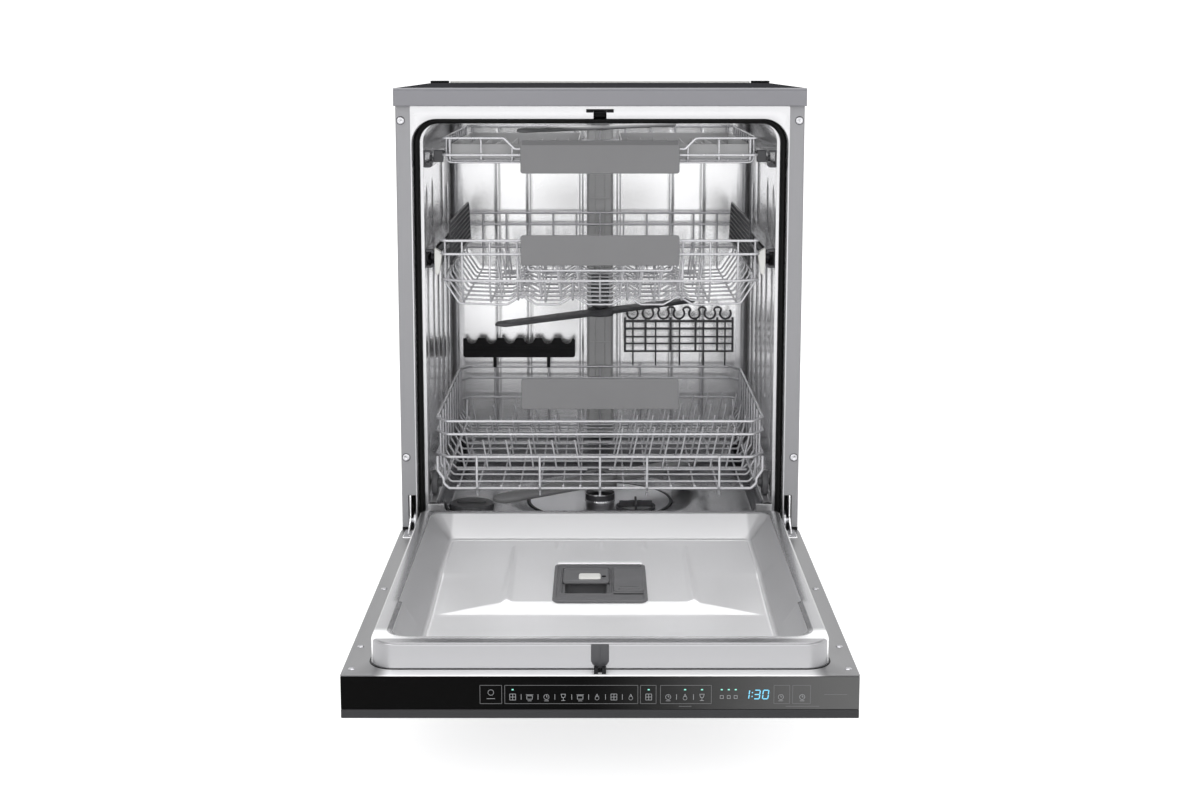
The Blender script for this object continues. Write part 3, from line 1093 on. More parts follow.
def dispenser():
    x0, y0, y1 = DISP_HI.x, DISP_LO.y, DISP_HI.y
    counts = [(8, 8)] * 4

    def frame_ring(cx, cy, hw, hh, cut):
        return ring([(cx - hw, cy - hh, cut), (cx + hw, cy - hh, cut), (cx + hw, cy + hh, cut),
                     (cx - hw, cy + hh, cut)], counts)
    cy, hh = (y0 + y1) / 2, (y1 - y0) / 2
    rows = [[(p.x, p.y, z) for p in frame_ring(0, cy, x0 - i, hh - i, 9 - i)]
            for i, z in ((0, 158.05), (0, 159.6), (0.5, 160.6), (1.4, 161), (4, 161), (4.6, 160.7),
                         (5, 159.9), (5, 158.9))]
    collar = loft("collar", rows, True, False, 35)
    wells = []
    for cx, hw, c, h, depth, cut in ((-19, 31.9, -263, 56.9, 157, 4), (38.95, 21.2, -259.5, 53.2, 158.8, 4)):
        rows = [[(p.x, p.y, z) for p in frame_ring(cx, c, hw - i, h - i, max(cut - i, 1))]
                for i, z in ((-2.5, 158.9), (-0.9, 160.6), (-0.2, 160.5), (0, 160), (0, depth))]
        wells.append(loft("well", rows, True, False, 35))
    cup_rows = [[(p.x, p.y, z) for p in frame_ring(-19, -287, 28 - i, 29 - i, 7)]
                for i, z in ((-1.2, 156.9), (-0.2, 156.8), (0, 156), (1.5, 138), (4, 133.4), (8, 132.4),
                             (20, 132.2))]
    cup = loft("cup", cup_rows, True, True, 40)
    bm = bmesh.new()
    bm.from_mesh(cup.data)
    top = max(bm.faces, key=lambda f: f.calc_center_median().z if len(f.verts) > 8 else -1)
    bm.faces.remove(top)
    bm.to_mesh(cup.data)
    bm.free()
    panes = []
    for a, b, c, d, z in ((-57.6, -345, 57.6, -320, 159.1), (-57.6, -206, 57.6, -195, 159.1),
                          (-57.6, -320, -50.9, -206, 159.1), (12.9, -320, 17.8, -206, 159.1),
                          (60.1, -320, 57.4, -206, 159.1),
                          (-51, -258, 13, -206, 156.9), (-51, -320, 13, -316, 156.9),
                          (-51, -316, -47, -258, 156.9), (9, -316, 13, -258, 156.9),
                          (17.7, -312.6, 60.2, -206.4, 158.85)):
        panes.append(slab("pane", (min(a, c), b, z - 0.5), (max(a, c), d, z), 0, 0))
    back = slab("tank", (-58.4, y0 + 4, 124), (58.4, y0 + 30, 157), 1, 2)
    tank = slab("tank", (-58.4, -257.5, 124), (58.4, y1 - 4, 156.3), 1, 2)
    wedge = slab("tank", (10, -316, 124), (58.4, -257.5, 156.3), 1, 2)
    side = slab("tank", (-58.4, -318, 124), (-47.6, -257, 156.3), 1, 2)
    body = joined("dispenser_body", [collar, cup, back, tank, wedge, side] + wells + panes)
    piece(body, "dispenser", "door", "dark_plastic", "dispenser_housing")
    rows = [[(p.x, p.y, z) for p in frame_ring(-19, -239.5, 31.5 - i, 31.4 - i, 5 - min(i, 4))]
            for i, z in ((1, 156.95), (0.2, 157.4), (0, 158.6), (0.3, 159.9), (1.2, 160.5), (4, 160.6),
                         (6, 160.2), (14, 160.1))]
    lid = loft("lid", rows, True, True, 35)
    piece(joined("detergent_lid_moulding", [lid]), "dispenser", "detergent_lid", "dark_plastic",
          "detergent_lid")
    rows = [[(p.x, p.y, z) for p in frame_ring(-14, -247, 14.4 - i, 10.4 - i, 3 - min(i, 2))]
            for i, z in ((-0.6, 159.9), (0, 161.2), (0.6, 161.9), (1.6, 162.1), (9, 162.15))]
    pad = loft("detergent_lid_label", rows, True, True, 35)
    piece(pad, "light", "detergent_lid", "dark_plastic")
    dot = turned("detergent_lid_dot", [(0, 161.2), (2.6, 161.2), (3.1, 160.7), (3.1, 159.9)], (5.5, -246, 0),
                 "z", 28)
    piece(dot, "black", "detergent_lid", "dark_plastic")
    rows = [[(p.x, p.y, z) for p in frame_ring(38.4, -259.5, 20.4 - i, 52.4 - i, 5 - min(i, 4))]
            for i, z in ((0.6, 159.25), (0, 159.8), (0, 160.9), (0.4, 161.5), (1.4, 161.78), (3.4, 161.8),
                         (4.2, 161.45), (9, 161.4))]
    lid = loft("lid", rows, True, True, 35)
    rows = [[(p.x, p.y, z) for p in frame_ring(39, -304.5, 14.6 - i, 3.3 - i, 2.4 - min(i, 1.6))]
            for i, z in ((-0.3, 161.5), (0.1, 162.8), (0.8, 163.3), (2, 163.35))]
    tab = loft("tab", rows, True, True, 35)
    ridge = slab("ridge", (26, -294.5, 161.3), (52, -293, 161.95), 0.25, 1)
    window = slab("window", (28, -301, 161.3), (50, -297.4, 161.9), 0.3, 1)
    piece(joined("rinse_lid_moulding", [lid, tab, ridge]), "dispenser", "rinse_aid_lid", "dark_plastic",
          "rinse_aid_lid")
    piece(joined("rinse_lid_window", [window]), "label", "rinse_aid_lid", "dark_plastic")


def icons():
    """Printed marks behind the glass: frames, simple generic signs, lamps and a clock display."""
    lo, hi = span("control_panel")
    front = lo.y + 0.25
    glass = slab("glass", (lo.x + 0.2, front, lo.z + 0.2), (hi.x - 0.2, lo.y + 3.4, hi.z - 0.1), 0.35, 2)
    piece(glass, "glass", "door", "panel_glass", "control_panel")
    y = front - 0.04
    mid = (lo.z + hi.z) / 2 - 1.7

    def bars(name, strokes, look, w=0.45):
        verts, faces = [], []
        for x0, z0, x1, z1 in strokes:
            a, b = Vector((x0, z0)), Vector((x1, z1))
            u = (b - a).normalized() * w / 2
            v = Vector((-u.y, u.x))
            k = len(verts)
            for p in (a - u - v, b + u - v, b + u + v, a - u + v):
                verts += [(p.x, y, p.y), (p.x, y + 0.06, p.y)]
            faces += [(k, k + 2, k + 4, k + 6), (k + 1, k + 7, k + 5, k + 3)]
            faces += [(k + i, k + i + 1, k + (i + 3) % 8, k + (i + 2) % 8) for i in (0, 2, 4, 6)]
        piece(add_mesh(name, verts, faces), look, "door", "panel_glass")

    def box_of(x0, x1, z0, z1):
        return [(x0, z0, x1, z0), (x1, z0, x1, z1), (x1, z1, x0, z1), (x0, z1, x0, z0)]

    def disc(x, z, r, sides=20):
        corners = [(x + r * math.cos(2 * math.pi * i / sides), z + r * math.sin(2 * math.pi * i / sides))
                   for i in range(sides + 1)]
        return [a + b for a, b in zip(corners, corners[1:])]

    def tray_sign(x, z):
        return box_of(x - 3.4, x + 3.4, z - 3.6, z + 3.6) + [(x - 3.4, z, x + 3.4, z),
                                                             (x, z - 3.6, x, z + 3.6)]

    def pot_sign(x, z):
        return box_of(x - 3.2, x + 3.2, z - 2.6, z + 1.4) + [(x - 4, z + 2.6, x + 4, z + 2.6),
                                                             (x - 2, z - 4.6, x + 2, z - 4.6)]

    def dial_sign(x, z):
        return disc(x, z, 3, 16) + [(x, z, x, z + 1.9), (x, z, x + 1.4, z),
                                    (x - 2.4, z - 4.6, x + 2.4, z - 4.6)]

    def glass_sign(x, z):
        return [(x - 2.6, z + 3.4, x + 2.6, z + 3.4), (x + 2.6, z + 3.4, x + 1.6, z - 0.6),
                (x + 1.6, z - 0.6, x - 1.6, z - 0.6), (x - 1.6, z - 0.6, x - 2.6, z + 3.4),
                (x, z - 0.6, x, z - 4), (x - 2, z - 4.2, x + 2, z - 4.2)]

    def drop_sign(x, z):
        return disc(x, z - 1.4, 2.2, 14) + [(x - 1.9, z - 0.4, x, z + 3.4), (x, z + 3.4, x + 1.9, z - 0.4)]
    frames = []
    for a, b in ((-138, -113), (-109.5, 43.5), (46.5, 64.5), (69.5, 128), (200, 218), (221.5, 242)):
        frames += box_of(a, b, mid - 11, mid + 11)
    low = mid - 3
    signs = disc(-125.5, mid + 2.4, 3.3) + [(-130, mid - 5, -121, mid - 5)]
    kinds = (tray_sign, pot_sign, dial_sign, glass_sign, pot_sign, drop_sign, tray_sign, drop_sign)
    for i, sign in enumerate(kinds):
        x = -100.4 + 19.4 * i
        signs += sign(x, low)
        if i < 7:
            signs.append((x + 9.7, low - 3, x + 9.7, low + 3))
    for x, sign in ((56, tray_sign), (78.4, dial_sign), (97.8, drop_sign), (117.2, glass_sign),
                    (208, dial_sign), (232.5, dial_sign)):
        signs += sign(x, low)
    signs += [(88, low - 3, 88, low + 3), (107.5, low - 3, 107.5, low + 3)]
    for x in (140, 148, 156):
        signs += box_of(x - 1.8, x + 1.8, low - 1.8, low + 1.8)
    rules = [(91, mid - 14.2, 105, mid - 14.2), (214, mid - 14.2, 252, mid - 14.2), (258, mid, 284, mid)]
    bars("panel_frames", frames + rules, "print_dim", 0.5)
    bars("panel_signs", signs, "print", 0.5)
    lamps = [(x - 0.4, mid + 5.8, x + 0.4, mid + 5.8) for x in (-100.4, 56, 97.8, 117.2, 140, 148, 156)]
    bars("panel_lamps", lamps, "lamp", 1.5)
    digits = []
    shapes = {"1": "bc", "3": "abgcd", "0": "abcdef"}
    for x, shape in ((168.4, "1"), (180.6, "3"), (190.4, "0")):
        h, w, lean = 5.2, 3.1, 0.1
        ends = {"a": (-w, h, w, h), "g": (-w, 0, w, 0), "d": (-w, -h, w, -h), "f": (-w, h, -w, 0),
                "b": (w, h, w, 0), "e": (-w, 0, -w, -h), "c": (w, 0, w, -h)}
        for seg in shapes[shape]:
            x0, z0, x1, z1 = ends[seg]
            u = Vector((x1 - x0, z1 - z0)).normalized() * 0.95
            digits.append((x + x0 + u.x + lean * z0, mid + z0 + u.y,
                           x + x1 - u.x + lean * z1, mid + z1 - u.y))
    digits += [(175.2, mid + 2.2, 175.3, mid + 2.4), (174.8, mid - 2.4, 174.9, mid - 2.2)]
    bars("panel_digits", digits, "digit", 1.15)
    lo, hi = span("fascia_trim")
    parts = [slab("strip", (lo.x, lo.y + 0.15, lo.z), (hi.x, hi.y, lo.z + 10.7), 1.1, 3),
             slab("post", (lo.x, lo.y + 3.6, lo.z + 10), (lo.x + 2.9, hi.y, hi.z), 0.3, 1),
             slab("post", (hi.x - 2.9, lo.y + 3.6, lo.z + 10), (hi.x, hi.y, hi.z), 0.3, 1)]
    piece(joined("trim_strip", parts), "trim", "door", "trim_grey", "fascia_trim")


# ---------------------------------------------------------------- racks

def handle(name, node, body, z0, z1, y0, y1, slot):
    """A grip plate with soft edges and a return along its top and bottom."""
    hi = span(node)[1]
    hw = hi.x
    out = []
    for cx, cz, a0 in ((hw - 4, z1 - 4, 0), (-hw + 4, z1 - 4, 90), (-hw + 4, z0 + 4, 180),
                       (hw - 4, z0 + 4, 270)):
        out += [(cx + 4 * math.cos(math.radians(a0 + 15 * i)), cz + 4 * math.sin(math.radians(a0 + 15 * i)))
                for i in range(7)]
    plate = prism("plate", out, "y", y0, y1, 0.9, 4)
    parts = [plate]
    for z in (z0 + 5, z1 - 5):
        parts.append(slab("lip", (-hw + 3, y1 - 0.2, z - 1.5), (hw - 3, hi.y - 1.2, z + 1.5), 0.5, 2))
    for x in (-90, -30, 30, 90):
        parts.append(slab("clip", (x - 4, y1 - 0.2, z0 + 5), (x + 4, hi.y - 0.1, z1 - 5), 0.6, 2))
    piece(joined(name, parts), "handle", body, slot, node)
    if node == "third_handle":
        band = slab(name + "_band", (-hw + 2.5, y0 - 0.35, z1 - 7), (hw - 2.5, y0 + 0.6, z1 - 1.2), 0.3, 2)
        piece(band, "dark_grip", body, slot)


def third_rack():
    paths = []
    top = [(-88, 36, 725), (-126, 36, 725), (-142, 36, 741), (-232, 36, 741), (-232, 482, 741),
           (232, 482, 741), (232, 36, 741), (142, 36, 741), (126, 36, 725), (88, 36, 725)]
    paths.append(bent(top, 7))
    z = 716
    paths.append(bent([(0, 36, z), (-232, 36, z), (-232, 482, z), (232, 482, z), (232, 36, z),
                       (0, 36, z)], 8))
    for y in [60 + 42 * i for i in range(10)]:
        paths.append((bent([(-229, y, 741), (-229, y, 704), (229, y, 704), (229, y, 741)], 8), 1.6))
    for x in (-222, -176, -130, 130, 176, 222):
        z = 741 if abs(x) > 140 else 727
        paths.append((bent([(x, 39, z), (x, 39, 707.5), (x, 478.5, 707.5), (x, 478.5, 741)], 7), 1.5))
    for x in (-88, -44, 0, 44, 88):
        paths.append((bent([(x, 39, 716), (x, 39, 707.5), (x, 478.5, 707.5), (x, 478.5, 741)], 7), 1.5))
    piece(wires("third_rack_wires", paths, 2), "wire", "third_rack", "rack_wire", "third_rack")
    parts = []
    for s in (-1, 1):
        for y in (60, 468):
            x0, x1 = sorted((s * 234, s * 248.3))
            parts.append(slab("carrier", (x0, y, 704), (x1, y + 8, 722), 1, 3))
            parts.append(turned("roller", [(0, s * 250.5), (4.4, s * 250.5), (5, s * 251), (5, s * 254),
                                           (4.4, s * 254.5), (0, s * 254.5)], (0, y + 4, 710.5), "x", 28))
            x0, x1 = sorted((s * 248, s * 251))
            parts.append(slab("pin", (x0, y + 2.4, 709), (x1, y + 5.6, 712), 0.4, 2))
    piece(joined("third_rack_rollers", parts), "dark", "third_rack", "rack_wire")
    handle("third_grip", "third_handle", "third_rack", 689, 738, 29, 32, "handle_grey")
    parts = []
    for s in (-1, 1):
        x0, x1 = sorted((s * 32, s * 222))
        for a, b, c, d in ((x0, 50, x1, 52.2), (x0, 438, x1, 440), (x0, 50, x0 + 2.2, 440),
                           (x1 - 2.2, 50, x1, 440)):
            parts.append(slab("wall", (a, b, 710.5), (c, d, 731.8), 0.8, 3))
        for y in range(54, 436, 14):
            parts.append(slab("bar", (x0 + 1, y, 710.4), (x1 - 1, y + 4, 712.4), 0.5, 2))
            for x in range(int(x0) + 14, int(x1) - 6, 22):
                parts.append(slab("tooth", (x, y + 0.6, 712), (x + 1.8, y + 3.2, 723), 0.5, 1))
        for x in (x0 + 48, x0 + 95, x0 + 142):
            parts.append(slab("spine", (x - 1, 51, 710.4), (x + 1, 439, 716), 0.5, 2))
    piece(joined("cutlery_trays", parts), "insert", "third_rack", "grey_plastic", "cutlery_insert")


def loop(hw, y0, y1, z, r=12, cut=0):
    """A level closed wire round a basket, with chamfered corners if cut is given."""
    if cut:
        pts = [(0, y0, z), (hw - 18, y0, z), (hw, y0 + cut, z), (hw, y1 - cut, z), (hw - 18, y1, z),
               (-hw + 18, y1, z), (-hw, y1 - cut, z), (-hw, y0 + cut, z), (-hw + 18, y0, z), (0, y0, z)]
    else:
        pts = [(0, y0, z), (hw, y0, z), (hw, y1, z), (-hw, y1, z), (-hw, y0, z), (0, y0, z)]
    return bent(pts, r)


def upper_basket():
    paths = [loop(236, 24, 482, z) for z in (590, 570)]
    paths.append(bent([(-205, 24, 530), (-236, 40, 530), (-236, 482, 530), (236, 482, 530), (236, 40, 530),
                       (205, 24, 530), (-205, 24, 530)], 10))
    for y in [56 + 46 * i for i in range(10)]:
        top = 590 if y in (56, 240, 470) else 530
        saw = [(-233, y, top), (-233, y, 524), (-212, y, 492), (-160, y, 490)]
        for c in (-118, -40, 40, 118):
            saw += [(c - 22, y, 490), (c, y, 503), (c + 22, y, 490)]
        saw += [(160, y, 490), (212, y, 492), (233, y, 524), (233, y, top)]
        paths.append((bent(saw, 7), 1.6))
    for x in (-205, -164, -123, -82, -41, 0, 41, 82, 123, 164, 205):
        tall = abs(x) > 120 or x == 0
        z = 590 if tall and x else 530
        up = 3 * (abs(x) in (123, 41))
        paths.append((bent([(x, 27, z), (x, 27, 528), (x, 50, 494.4 + up), (x, 474, 494.4 + up),
                            (x, 479, 530), (x, 479, 590)], 9), 1.5))
    for s in (-1, 1):
        for y in (110, 160, 250, 340, 400):
            for i in range(5):
                x = s * (30 + 30 * i)
                paths.append(([(x, y, 491), (x + s * 4, y, 521), (x + s * 8, y, 548),
                               (x + s * 8.4, y, 552)], 1.5))
            paths.append(([(s * 22, y, 496), (s * 162, y, 496)], 1.6))
    paths.append((bent([(-107, 22, 566), (-107, 20, 546), (107, 20, 546), (107, 22, 566)], 6), 1.7))
    piece(wires("upper_basket_wires", paths, 2), "wire", "upper_basket", "rack_wire", "upper_basket")
    parts, levers = [], []
    for s in (-1, 1):
        x0, x1 = sorted((s * 238.6, s * 246))
        parts.append(slab("runner", (x0, 58, 549), (x1, 474, 574), 1.4, 3))
        for y in (70, 468):
            parts.append(turned("roller", [(0, s * 248), (5, s * 248), (5.4, s * 248.4), (5.4, s * 254.4),
                                           (5, s * 255), (0, s * 255)], (0, y, 561), "x", 28))
            a, b = sorted((s * 245.5, s * 248.5))
            parts.append(turned("pin", [(2.4, a), (2.4, b)], (0, y, 561), "x", 20))
        out = [(s * x, z) for x, z in ((247.4, 577), (237.4, 571), (236.6, 566), (240, 541), (243, 536),
                                       (246.4, 538), (247.6, 556))]
        levers.append(prism("lever", out, "y", 42, 57, 1.1, 3))
    piece(joined("upper_basket_runners", parts), "dark", "upper_basket", "rack_wire")
    piece(joined("upper_basket_levers", levers), "light", "upper_basket", "rack_wire")
    handle("upper_grip", "upper_handle", "upper_basket", 554, 599, 14, 17.5, "handle_grey")
    flow = []
    for i in range(13):
        f = i / 12
        flow.append((ARM_Y + f * 233, 8.4 + 3.4 * abs(f - 0.5) * 2))
    rows = []
    for y, r in [(ARM_Y - 11, 5)] + [(ARM_Y - 8, 8)] + flow:
        rows.append([(1.25 * r * math.cos(a), y, 468 + r * 0.92 * math.sin(a))
                     for a in (2 * math.pi * i / 32 for i in range(32))])
    pipe = loft("pipe", rows, True, True, 50)
    hub = turned("hub", [(5.2, 443.2), (6, 443.2), (6, 457), (13, 458.4), (14, 460), (14, 476), (12.5, 478.6),
                         (0, 479)], (0, ARM_Y, 0), "z", 40)
    nozzle = turned("mouth", [(9.4, 483), (12, 483), (12.6, 481), (12.6, 474), (11.4, 472)],
                    (0, 0, 468), "y", 40)
    clips = [slab("clip", (-15, y, 466), (15, y + 7, 488), 1.5, 3) for y in (300, 420)]
    piece(joined("feed_pipe", [pipe, hub, nozzle] + clips), "dark", "upper_basket", "dark_plastic",
          "mid_feed_pipe")


def cup_shelf(s, side):
    """A fold-down shelf: a fine mesh panel on a hinge bar, standing against the basket's side."""
    tilt = math.radians(2.5 * s)

    def place(y, h):
        return (s * 226 + h * math.sin(tilt), y, 548 + h * math.cos(tilt))
    paths = [([place(90, 0), place(460, 0)], 2.5)]
    outer = bent([place(90, 0), place(90, 63), place(460, 63), place(460, 0)], 10)
    paths.append((outer, 1.5))
    for i in range(24):
        y = 104 + 15 * i
        paths.append(([place(y, 0), place(y, 63)], 0.9))
    for h in (9, 17, 25, 32, 40, 47, 55):
        paths.append(([place(91, h), place(459, h)], 0.9))
    piece(wires("cup_shelf_mesh_" + side, paths, 1.5), "dark", "cup_shelf_" + side, "dark_plastic",
          "cup_shelf_" + side)


def lower_basket():
    paths = [loop(248, 24, 480, z, 9, 28) for z in (317, 297, 262)]

    def hoop(y, x_top, z_top):
        half = [(x_top, y, z_top), (x_top, y, 240), (237, y, 227), (237, y, BASKET_FLOOR + 8),
                (229, y, BASKET_FLOOR)]
        return bent([(-x, yy, z) for x, yy, z in half] + half[::-1], 5)
    paths.append((hoop(30, 246, 262), 2.2))
    paths.append((hoop(479, 246, 262), 2.2))
    for y in (72, 116, 160, 204, 248, 292, 336, 380, 424, 452):
        paths.append((hoop(y, 245, 317), 1.7))
    for s in (-1, 1):
        paths.append(bent([(s * 229, 27, 262), (s * 236, 34, 262), (s * 236, 44, 220), (s * 236, 462, 220),
                           (s * 236, 474, 262)], 10))
    for x in (-186, -91, 0, 71, 180):
        paths.append((bent([(x, 27.5, 208.6), (x, 483, 208.6), (x, 483, 318.5)], 7), 1.9))
        paths.append((bent([(x, 21.6, 264), (x, 21.6, 216), (x, 32.5, 205), (x, 32.5, 200.5)], 4), 1.9))
    for x in (-216, -150, -122, -56, -30, 36, 108, 144, 216):
        paths.append((bent([(x, 33, 215), (x, 40, 208.6), (x, 470, 208.6), (x, 476, 215)], 5), 1.6))
    for y in (120, 210, 300, 390):
        paths.append(([(14, y, 219), (230, y, 219)], 1.8))
        paths.append(([(-224, y, 219), (-20, y, 219)], 1.8))
        for i in range(9):
            x = 22 + 25 * i
            paths.append((bent([(x, y, 219), (x + 10, y, 266), (x + 14, y, 286.5)], 20), 1.6))
        for i in range(6):
            x = -32 - 36 * i
            paths.append((bent([(x, y, 219), (x - 5, y, 252), (x - 8, y, 266)], 20), 1.6))
    piece(wires("lower_basket_wires", paths, 2), "wire", "lower_basket", "rack_wire", "lower_basket")
    parts = []
    for s in (-1, 1):
        for y in WHEEL_Y:
            out = [(y - 9, 201), (y + 9, 201), (y + 7, 220), (y - 7, 220)]
            x0, x1 = sorted((s * 233.4, s * 238.4))
            parts.append(prism("bracket", out, "x", x0, x1, 1, 3))
            parts.append(turned("axle", [(0, s * 234), (2.9, s * 234), (2.9, s * 260.6), (4.6, s * 260.7),
                                         (4.4, s * 261.6), (0, s * 261.8)], (0, y, AXLE_Z), "x", 28))
    piece(joined("wheel_brackets", parts), "wheel", "lower_basket", "rack_wire")
    handle("lower_grip", "lower_handle", "lower_basket", 337.5, 384, 14, 17.5, "handle_grey")
    lo, hi = span("stemware_comb")
    out = [(lo.x, lo.z + 3), (lo.x + 3, lo.z), (hi.x - 3, lo.z), (hi.x, lo.z + 3), (hi.x, hi.z - 3)]
    for i in range(5, -1, -1):
        cx = -226 + i * 33.5
        if cx + 10 < hi.x - 1:
            out += [(cx + 10.8, hi.z), (cx + 10, hi.z - 0.8)]
            out += [(cx + 9.6 * math.cos(a), hi.z - 0.8 - 9.4 * math.sin(a))
                    for a in (math.radians(15 * j) for j in range(1, 12))]
            out += [(cx - 10, hi.z - 0.8), (cx - 10.8, hi.z)]
    out += [(lo.x, hi.z - 1)]
    parts = [prism("comb", out, "y", lo.y + 0.4, hi.y - 0.4, 0.5, 2)]
    for z in (344, 350, 356):
        parts.append(slab("rib", (lo.x + 4, lo.y, z), (hi.x - 4, lo.y + 1, z + 1.6), 0.3, 1))
    parts += [slab("hook", (x - 3, lo.y + 1, 316), (x + 3, hi.y - 0.6, 341), 0.6, 2) for x in (-186, -91)]
    piece(joined("stemware_comb_moulding", parts), "black", "lower_basket", "comb_black", "stemware_comb")
    lo, hi = span("rear_shelf")
    paths = []
    wave = []
    for i in range(7):
        cx = 57 + 27.2 * i
        wave += [(cx + 9.5 * math.cos(a), 464, 415 + 9.5 * math.sin(a))
                 for a in (math.radians(140 + 13 * j) for j in range(21))]
        if i < 6:
            nx = cx + 27.2
            x0, x1 = cx + 9.5 * math.cos(math.radians(40)), nx - 9.5 * math.cos(math.radians(40))
            wave += [((x0 + x1) / 2 - (x1 - x0) / 2 * math.cos(a), 464, 421.1 + 5 * math.sin(a))
                     for a in (math.radians(20 * j) for j in range(1, 9))]
    paths.append((wave, 1.9))
    for x in (58, 98, 140, 182, 220):
        paths.append(([(x, 465.6, 322), (x, 465.6, 404)], 1.4))
    piece(wires("rear_shelf_wires", paths, 2), "dark", "lower_basket", "dark_plastic", "rear_shelf")
    parts = [slab("bar", (lo.x, lo.y, z), (hi.x, lo.y + 2.6, z + h), 0.8, 2)
             for z, h in ((399, 4.5), (386, 4), (372, 3), (360, 3), (346, 3.5))]
    parts += [slab("post", (x - 2, lo.y + 0.4, 346), (x + 2, lo.y + 2.4, 408), 0.6, 2)
              for x in (lo.x + 2, 80, 124, 168, 206, hi.x - 2)]
    piece(joined("rear_shelf_bars", parts), "dark", "lower_basket", "dark_plastic")


def wheel_pair(y, node, name):
    z = AXLE_Z
    parts = []
    for s in (-1, 1):
        rim = [(3.1, 245.4), (6.6, 245.4), (7, 246), (7, 250.6), (14, 251.2), (16.4, 251), (18.2, 251.1),
               (19, 252), (19, 259), (18.2, 259.9), (16, 260), (14.6, 259), (7.4, 258.6), (6.6, 260),
               (3.1, 260), (3.1, 245.4)]
        parts.append(turned("wheel", [(r, s * h) for r, h in rim], (0, y, z), "x", 64))
        for i in range(6):
            a = math.radians(60 * i + 30)
            cy, cz = y + 10.8 * math.cos(a), z + 10.8 * math.sin(a)
            u, v = math.cos(a), math.sin(a)
            out = [(cy + u * p - v * q, cz + v * p + u * q)
                   for p, q in ((-3.6, -0.8), (3.8, -0.8), (3.8, 0.8), (-3.6, 0.8))]
            x0, x1 = sorted((s * 250.8, s * 259.6))
            parts.append(prism("spoke", out, "x", x0, x1, 0, 0))
    piece(joined(name, parts), "wheel", node, "wheel_grey", node)


# ---------------------------------------------------------------- base and feet

def base_and_feet():
    for node, name in (("foot_left", "left"), ("foot_right", "right"), ("foot_rear", "rear")):
        lo, hi = span(node)
        cx, cy = (lo.x + hi.x) / 2, (lo.y + hi.y) / 2
        pad = turned("pad", [(0, 0.1), (18.6, 0.1), (19.8, 1), (20, 2.4), (19.6, 4.4), (12, 6.6), (9.4, 7.2),
                             (5, 7.2)], (cx, cy, 0), "z", 48)
        out = [(cx + 9 * math.cos(a), cy + 9 * math.sin(a))
               for a in (math.radians(60 * i) for i in range(6))]
        nut = prism("nut", out, "z", 7, 12.2, 0.6, 2)
        thread = [(4.5, 12)]
        z = 12
        while z < 95:
            thread += [(4.9, z + 0.9), (4.3, z + 1.8)]
            z += 1.8
        thread += [(0, z)]
        rod = turned("rod", thread, (cx, cy, 0), "z", 28, 60)
        piece(joined("foot_stand_" + name, [pad, nut, rod]), "black", node, "black_plastic", node)
    coils = []
    for s in (-1, 1):
        helix = [(s * 279, 150, 60)]
        helix += [(s * 279 + 6 * math.cos(a), 182 + 176 * a / (2 * math.pi * 44), 60 + 6 * math.sin(a))
                  for a in (2 * math.pi * i / 14 for i in range(14 * 44 + 1))]
        helix += [(s * 279, 390, 60)]
        coils.append((helix, 1.0))
    piece(wires("door_springs", coils, 1.0), "spring", "cabinet", "spring_steel", "balance_springs")


top_cover()
corner_caps()
side_panels()
back_panel()
front_frame()
gasket()
tub()
tub_floor()
small_frame_parts()
duct()
rails()
arms()
filters()
door_tray()
door_case()
dispenser()
icons()
third_rack()
upper_basket()
cup_shelf(-1, "left")
cup_shelf(1, "right")
lower_basket()
wheel_pair(WHEEL_Y[0], "front_wheels", "front_wheel_pair")
wheel_pair(WHEEL_Y[1], "rear_wheels", "rear_wheel_pair")
base_and_feet()

for node, look in (("base_tray", "black"), ("plinth_panel", "outer"), ("sump", "pump"),
                   ("water_softener", "light"), ("wash_pump", "pump"), ("drain_pump", "pump"),
                   ("inlet_valve", "light"), ("cable_gland", "black"), ("hinge_brackets", "zinc"),
                   ("control_board", "board")):
    dress(node, look)


# ---------------------------------------------------------------- stage, light and camera

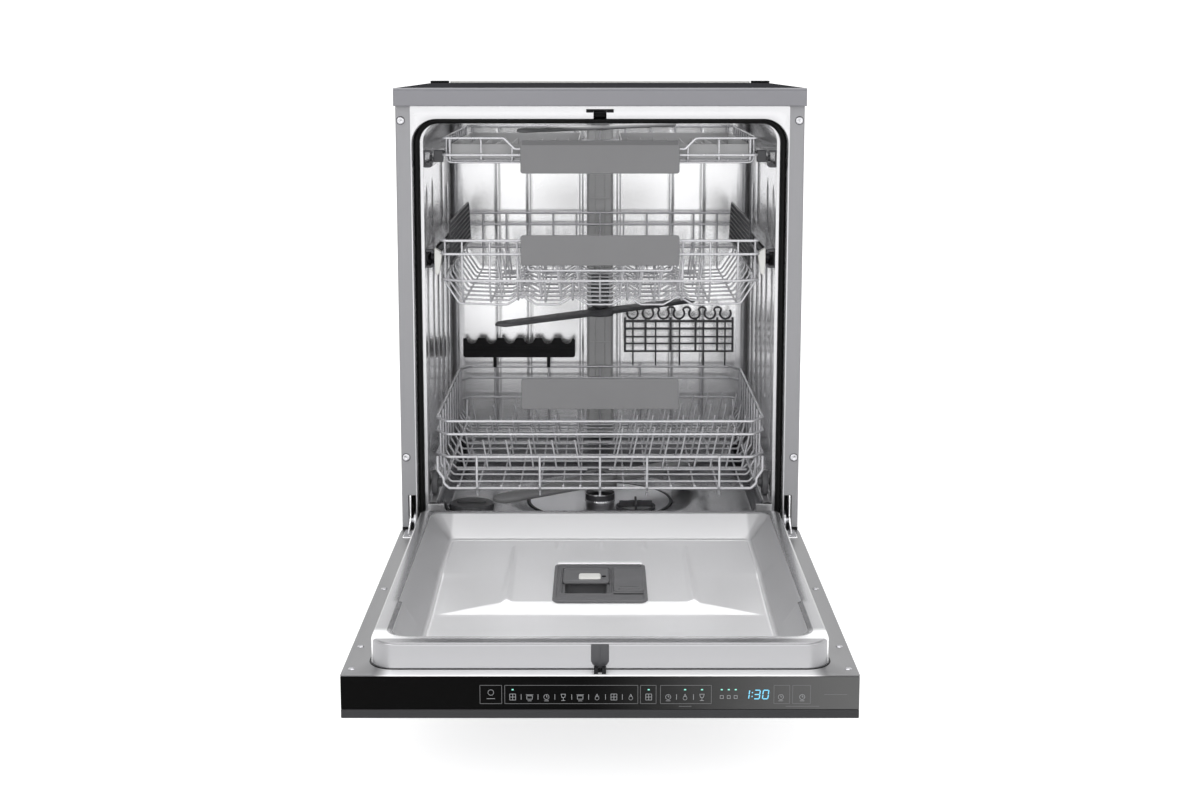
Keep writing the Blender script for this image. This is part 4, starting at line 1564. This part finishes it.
def stage():
    """A pale bowl: a flat floor that curves up into a wall all round, a little darker in front."""
    white, nodes, links, bsdf = material("backdrop_look")
    cloud = noise(nodes, links, (1, 1, 1), 0.7, 2, 0.5)
    links.new(tint(nodes, links, cloud.outputs["Fac"], (0.60, 0.60, 0.60), 0.01), bsdf.inputs["Base Color"])
    bsdf.inputs["Roughness"].default_value = 0.9
    bsdf.inputs["Specular IOR Level"].default_value = 0.1
    bsdf.inputs["Emission Color"].default_value = (1, 1, 1, 1)
    coords = nodes.new("ShaderNodeTexCoord")
    axes = nodes.new("ShaderNodeSeparateXYZ")
    links.new(coords.outputs["Object"], axes.inputs["Vector"])
    fade = nodes.new("ShaderNodeMapRange")
    fade.interpolation_type = "SMOOTHSTEP"
    fade.inputs["From Min"].default_value = -3.5
    fade.inputs["From Max"].default_value = -0.8
    fade.inputs["To Min"].default_value = 0.45
    fade.inputs["To Max"].default_value = 0.66
    links.new(axes.outputs["Y"], fade.inputs["Value"])
    links.new(fade.outputs["Result"], bsdf.inputs["Emission Strength"])
    bend = [(7500 + 3000 * math.sin(a), 2999.5 - 3000 * math.cos(a))
            for a in (math.radians(9 * i) for i in range(1, 11))]
    bowl = turned("backdrop", [(0, -0.5), (4000, -0.5), (7500, -0.5)] + bend + [(10500, 9000)], (0, 0, 0),
                  "z", 96, 80)
    bowl.data.materials.append(white)
    world = bpy.context.scene.world or bpy.data.worlds.new("studio")
    bpy.context.scene.world = world
    world.use_nodes = True
    back = world.node_tree.nodes["Background"]
    back.inputs["Color"].default_value = (1, 1, 1, 1)
    back.inputs["Strength"].default_value = 0.75


def card(name, at, target, size, size_y, white):
    """A soft box; white is how bright it looks, where 1 is the white of paper."""
    light = bpy.data.lights.new(name, "AREA")
    light.shape = "RECTANGLE"
    light.size, light.size_y = size, size_y
    light.energy = white * math.pi * size * size_y
    obj = bpy.data.objects.new(name, light)
    bpy.context.scene.collection.objects.link(obj)
    obj.location = point(at)
    obj.rotation_euler = (point(target) - obj.location).to_track_quat("-Z", "Y").to_euler()


stage()
card("key", (-1900, -2500, 2300), (0, 0, 400), 1.5, 1.5, 2.2)
card("fill", (2300, -1900, 1500), (0, 0, 400), 1.2, 1.5, 1.2)
card("front", (0, -3100, 1500), (0, 300, 420), 3.2, 1.4, 1.2)
card("low", (0, -2700, 260), (0, 200, 720), 3.0, 0.7, 1.0)
card("top", (0, 250, 2700), (0, -100, 0), 2.2, 2.2, 1.7)
card("inside", (0, 330, 764.2), (0, 330.1, 0), 0.42, 0.3, 1.5)

lens = bpy.data.cameras.new("photo_view")
lens.sensor_width = 36
lens.lens = 50.39
lens.shift_y = -0.0767
lens.clip_end = 50
camera = bpy.data.objects.new("photo_view", lens)
bpy.context.scene.collection.objects.link(camera)
camera.location = point((0, -2452, 855))
camera.rotation_euler = (math.radians(90 - 8.4), 0, 0)
bpy.context.scene.camera = camera
bpy.context.scene.view_settings.view_transform = "Standard"
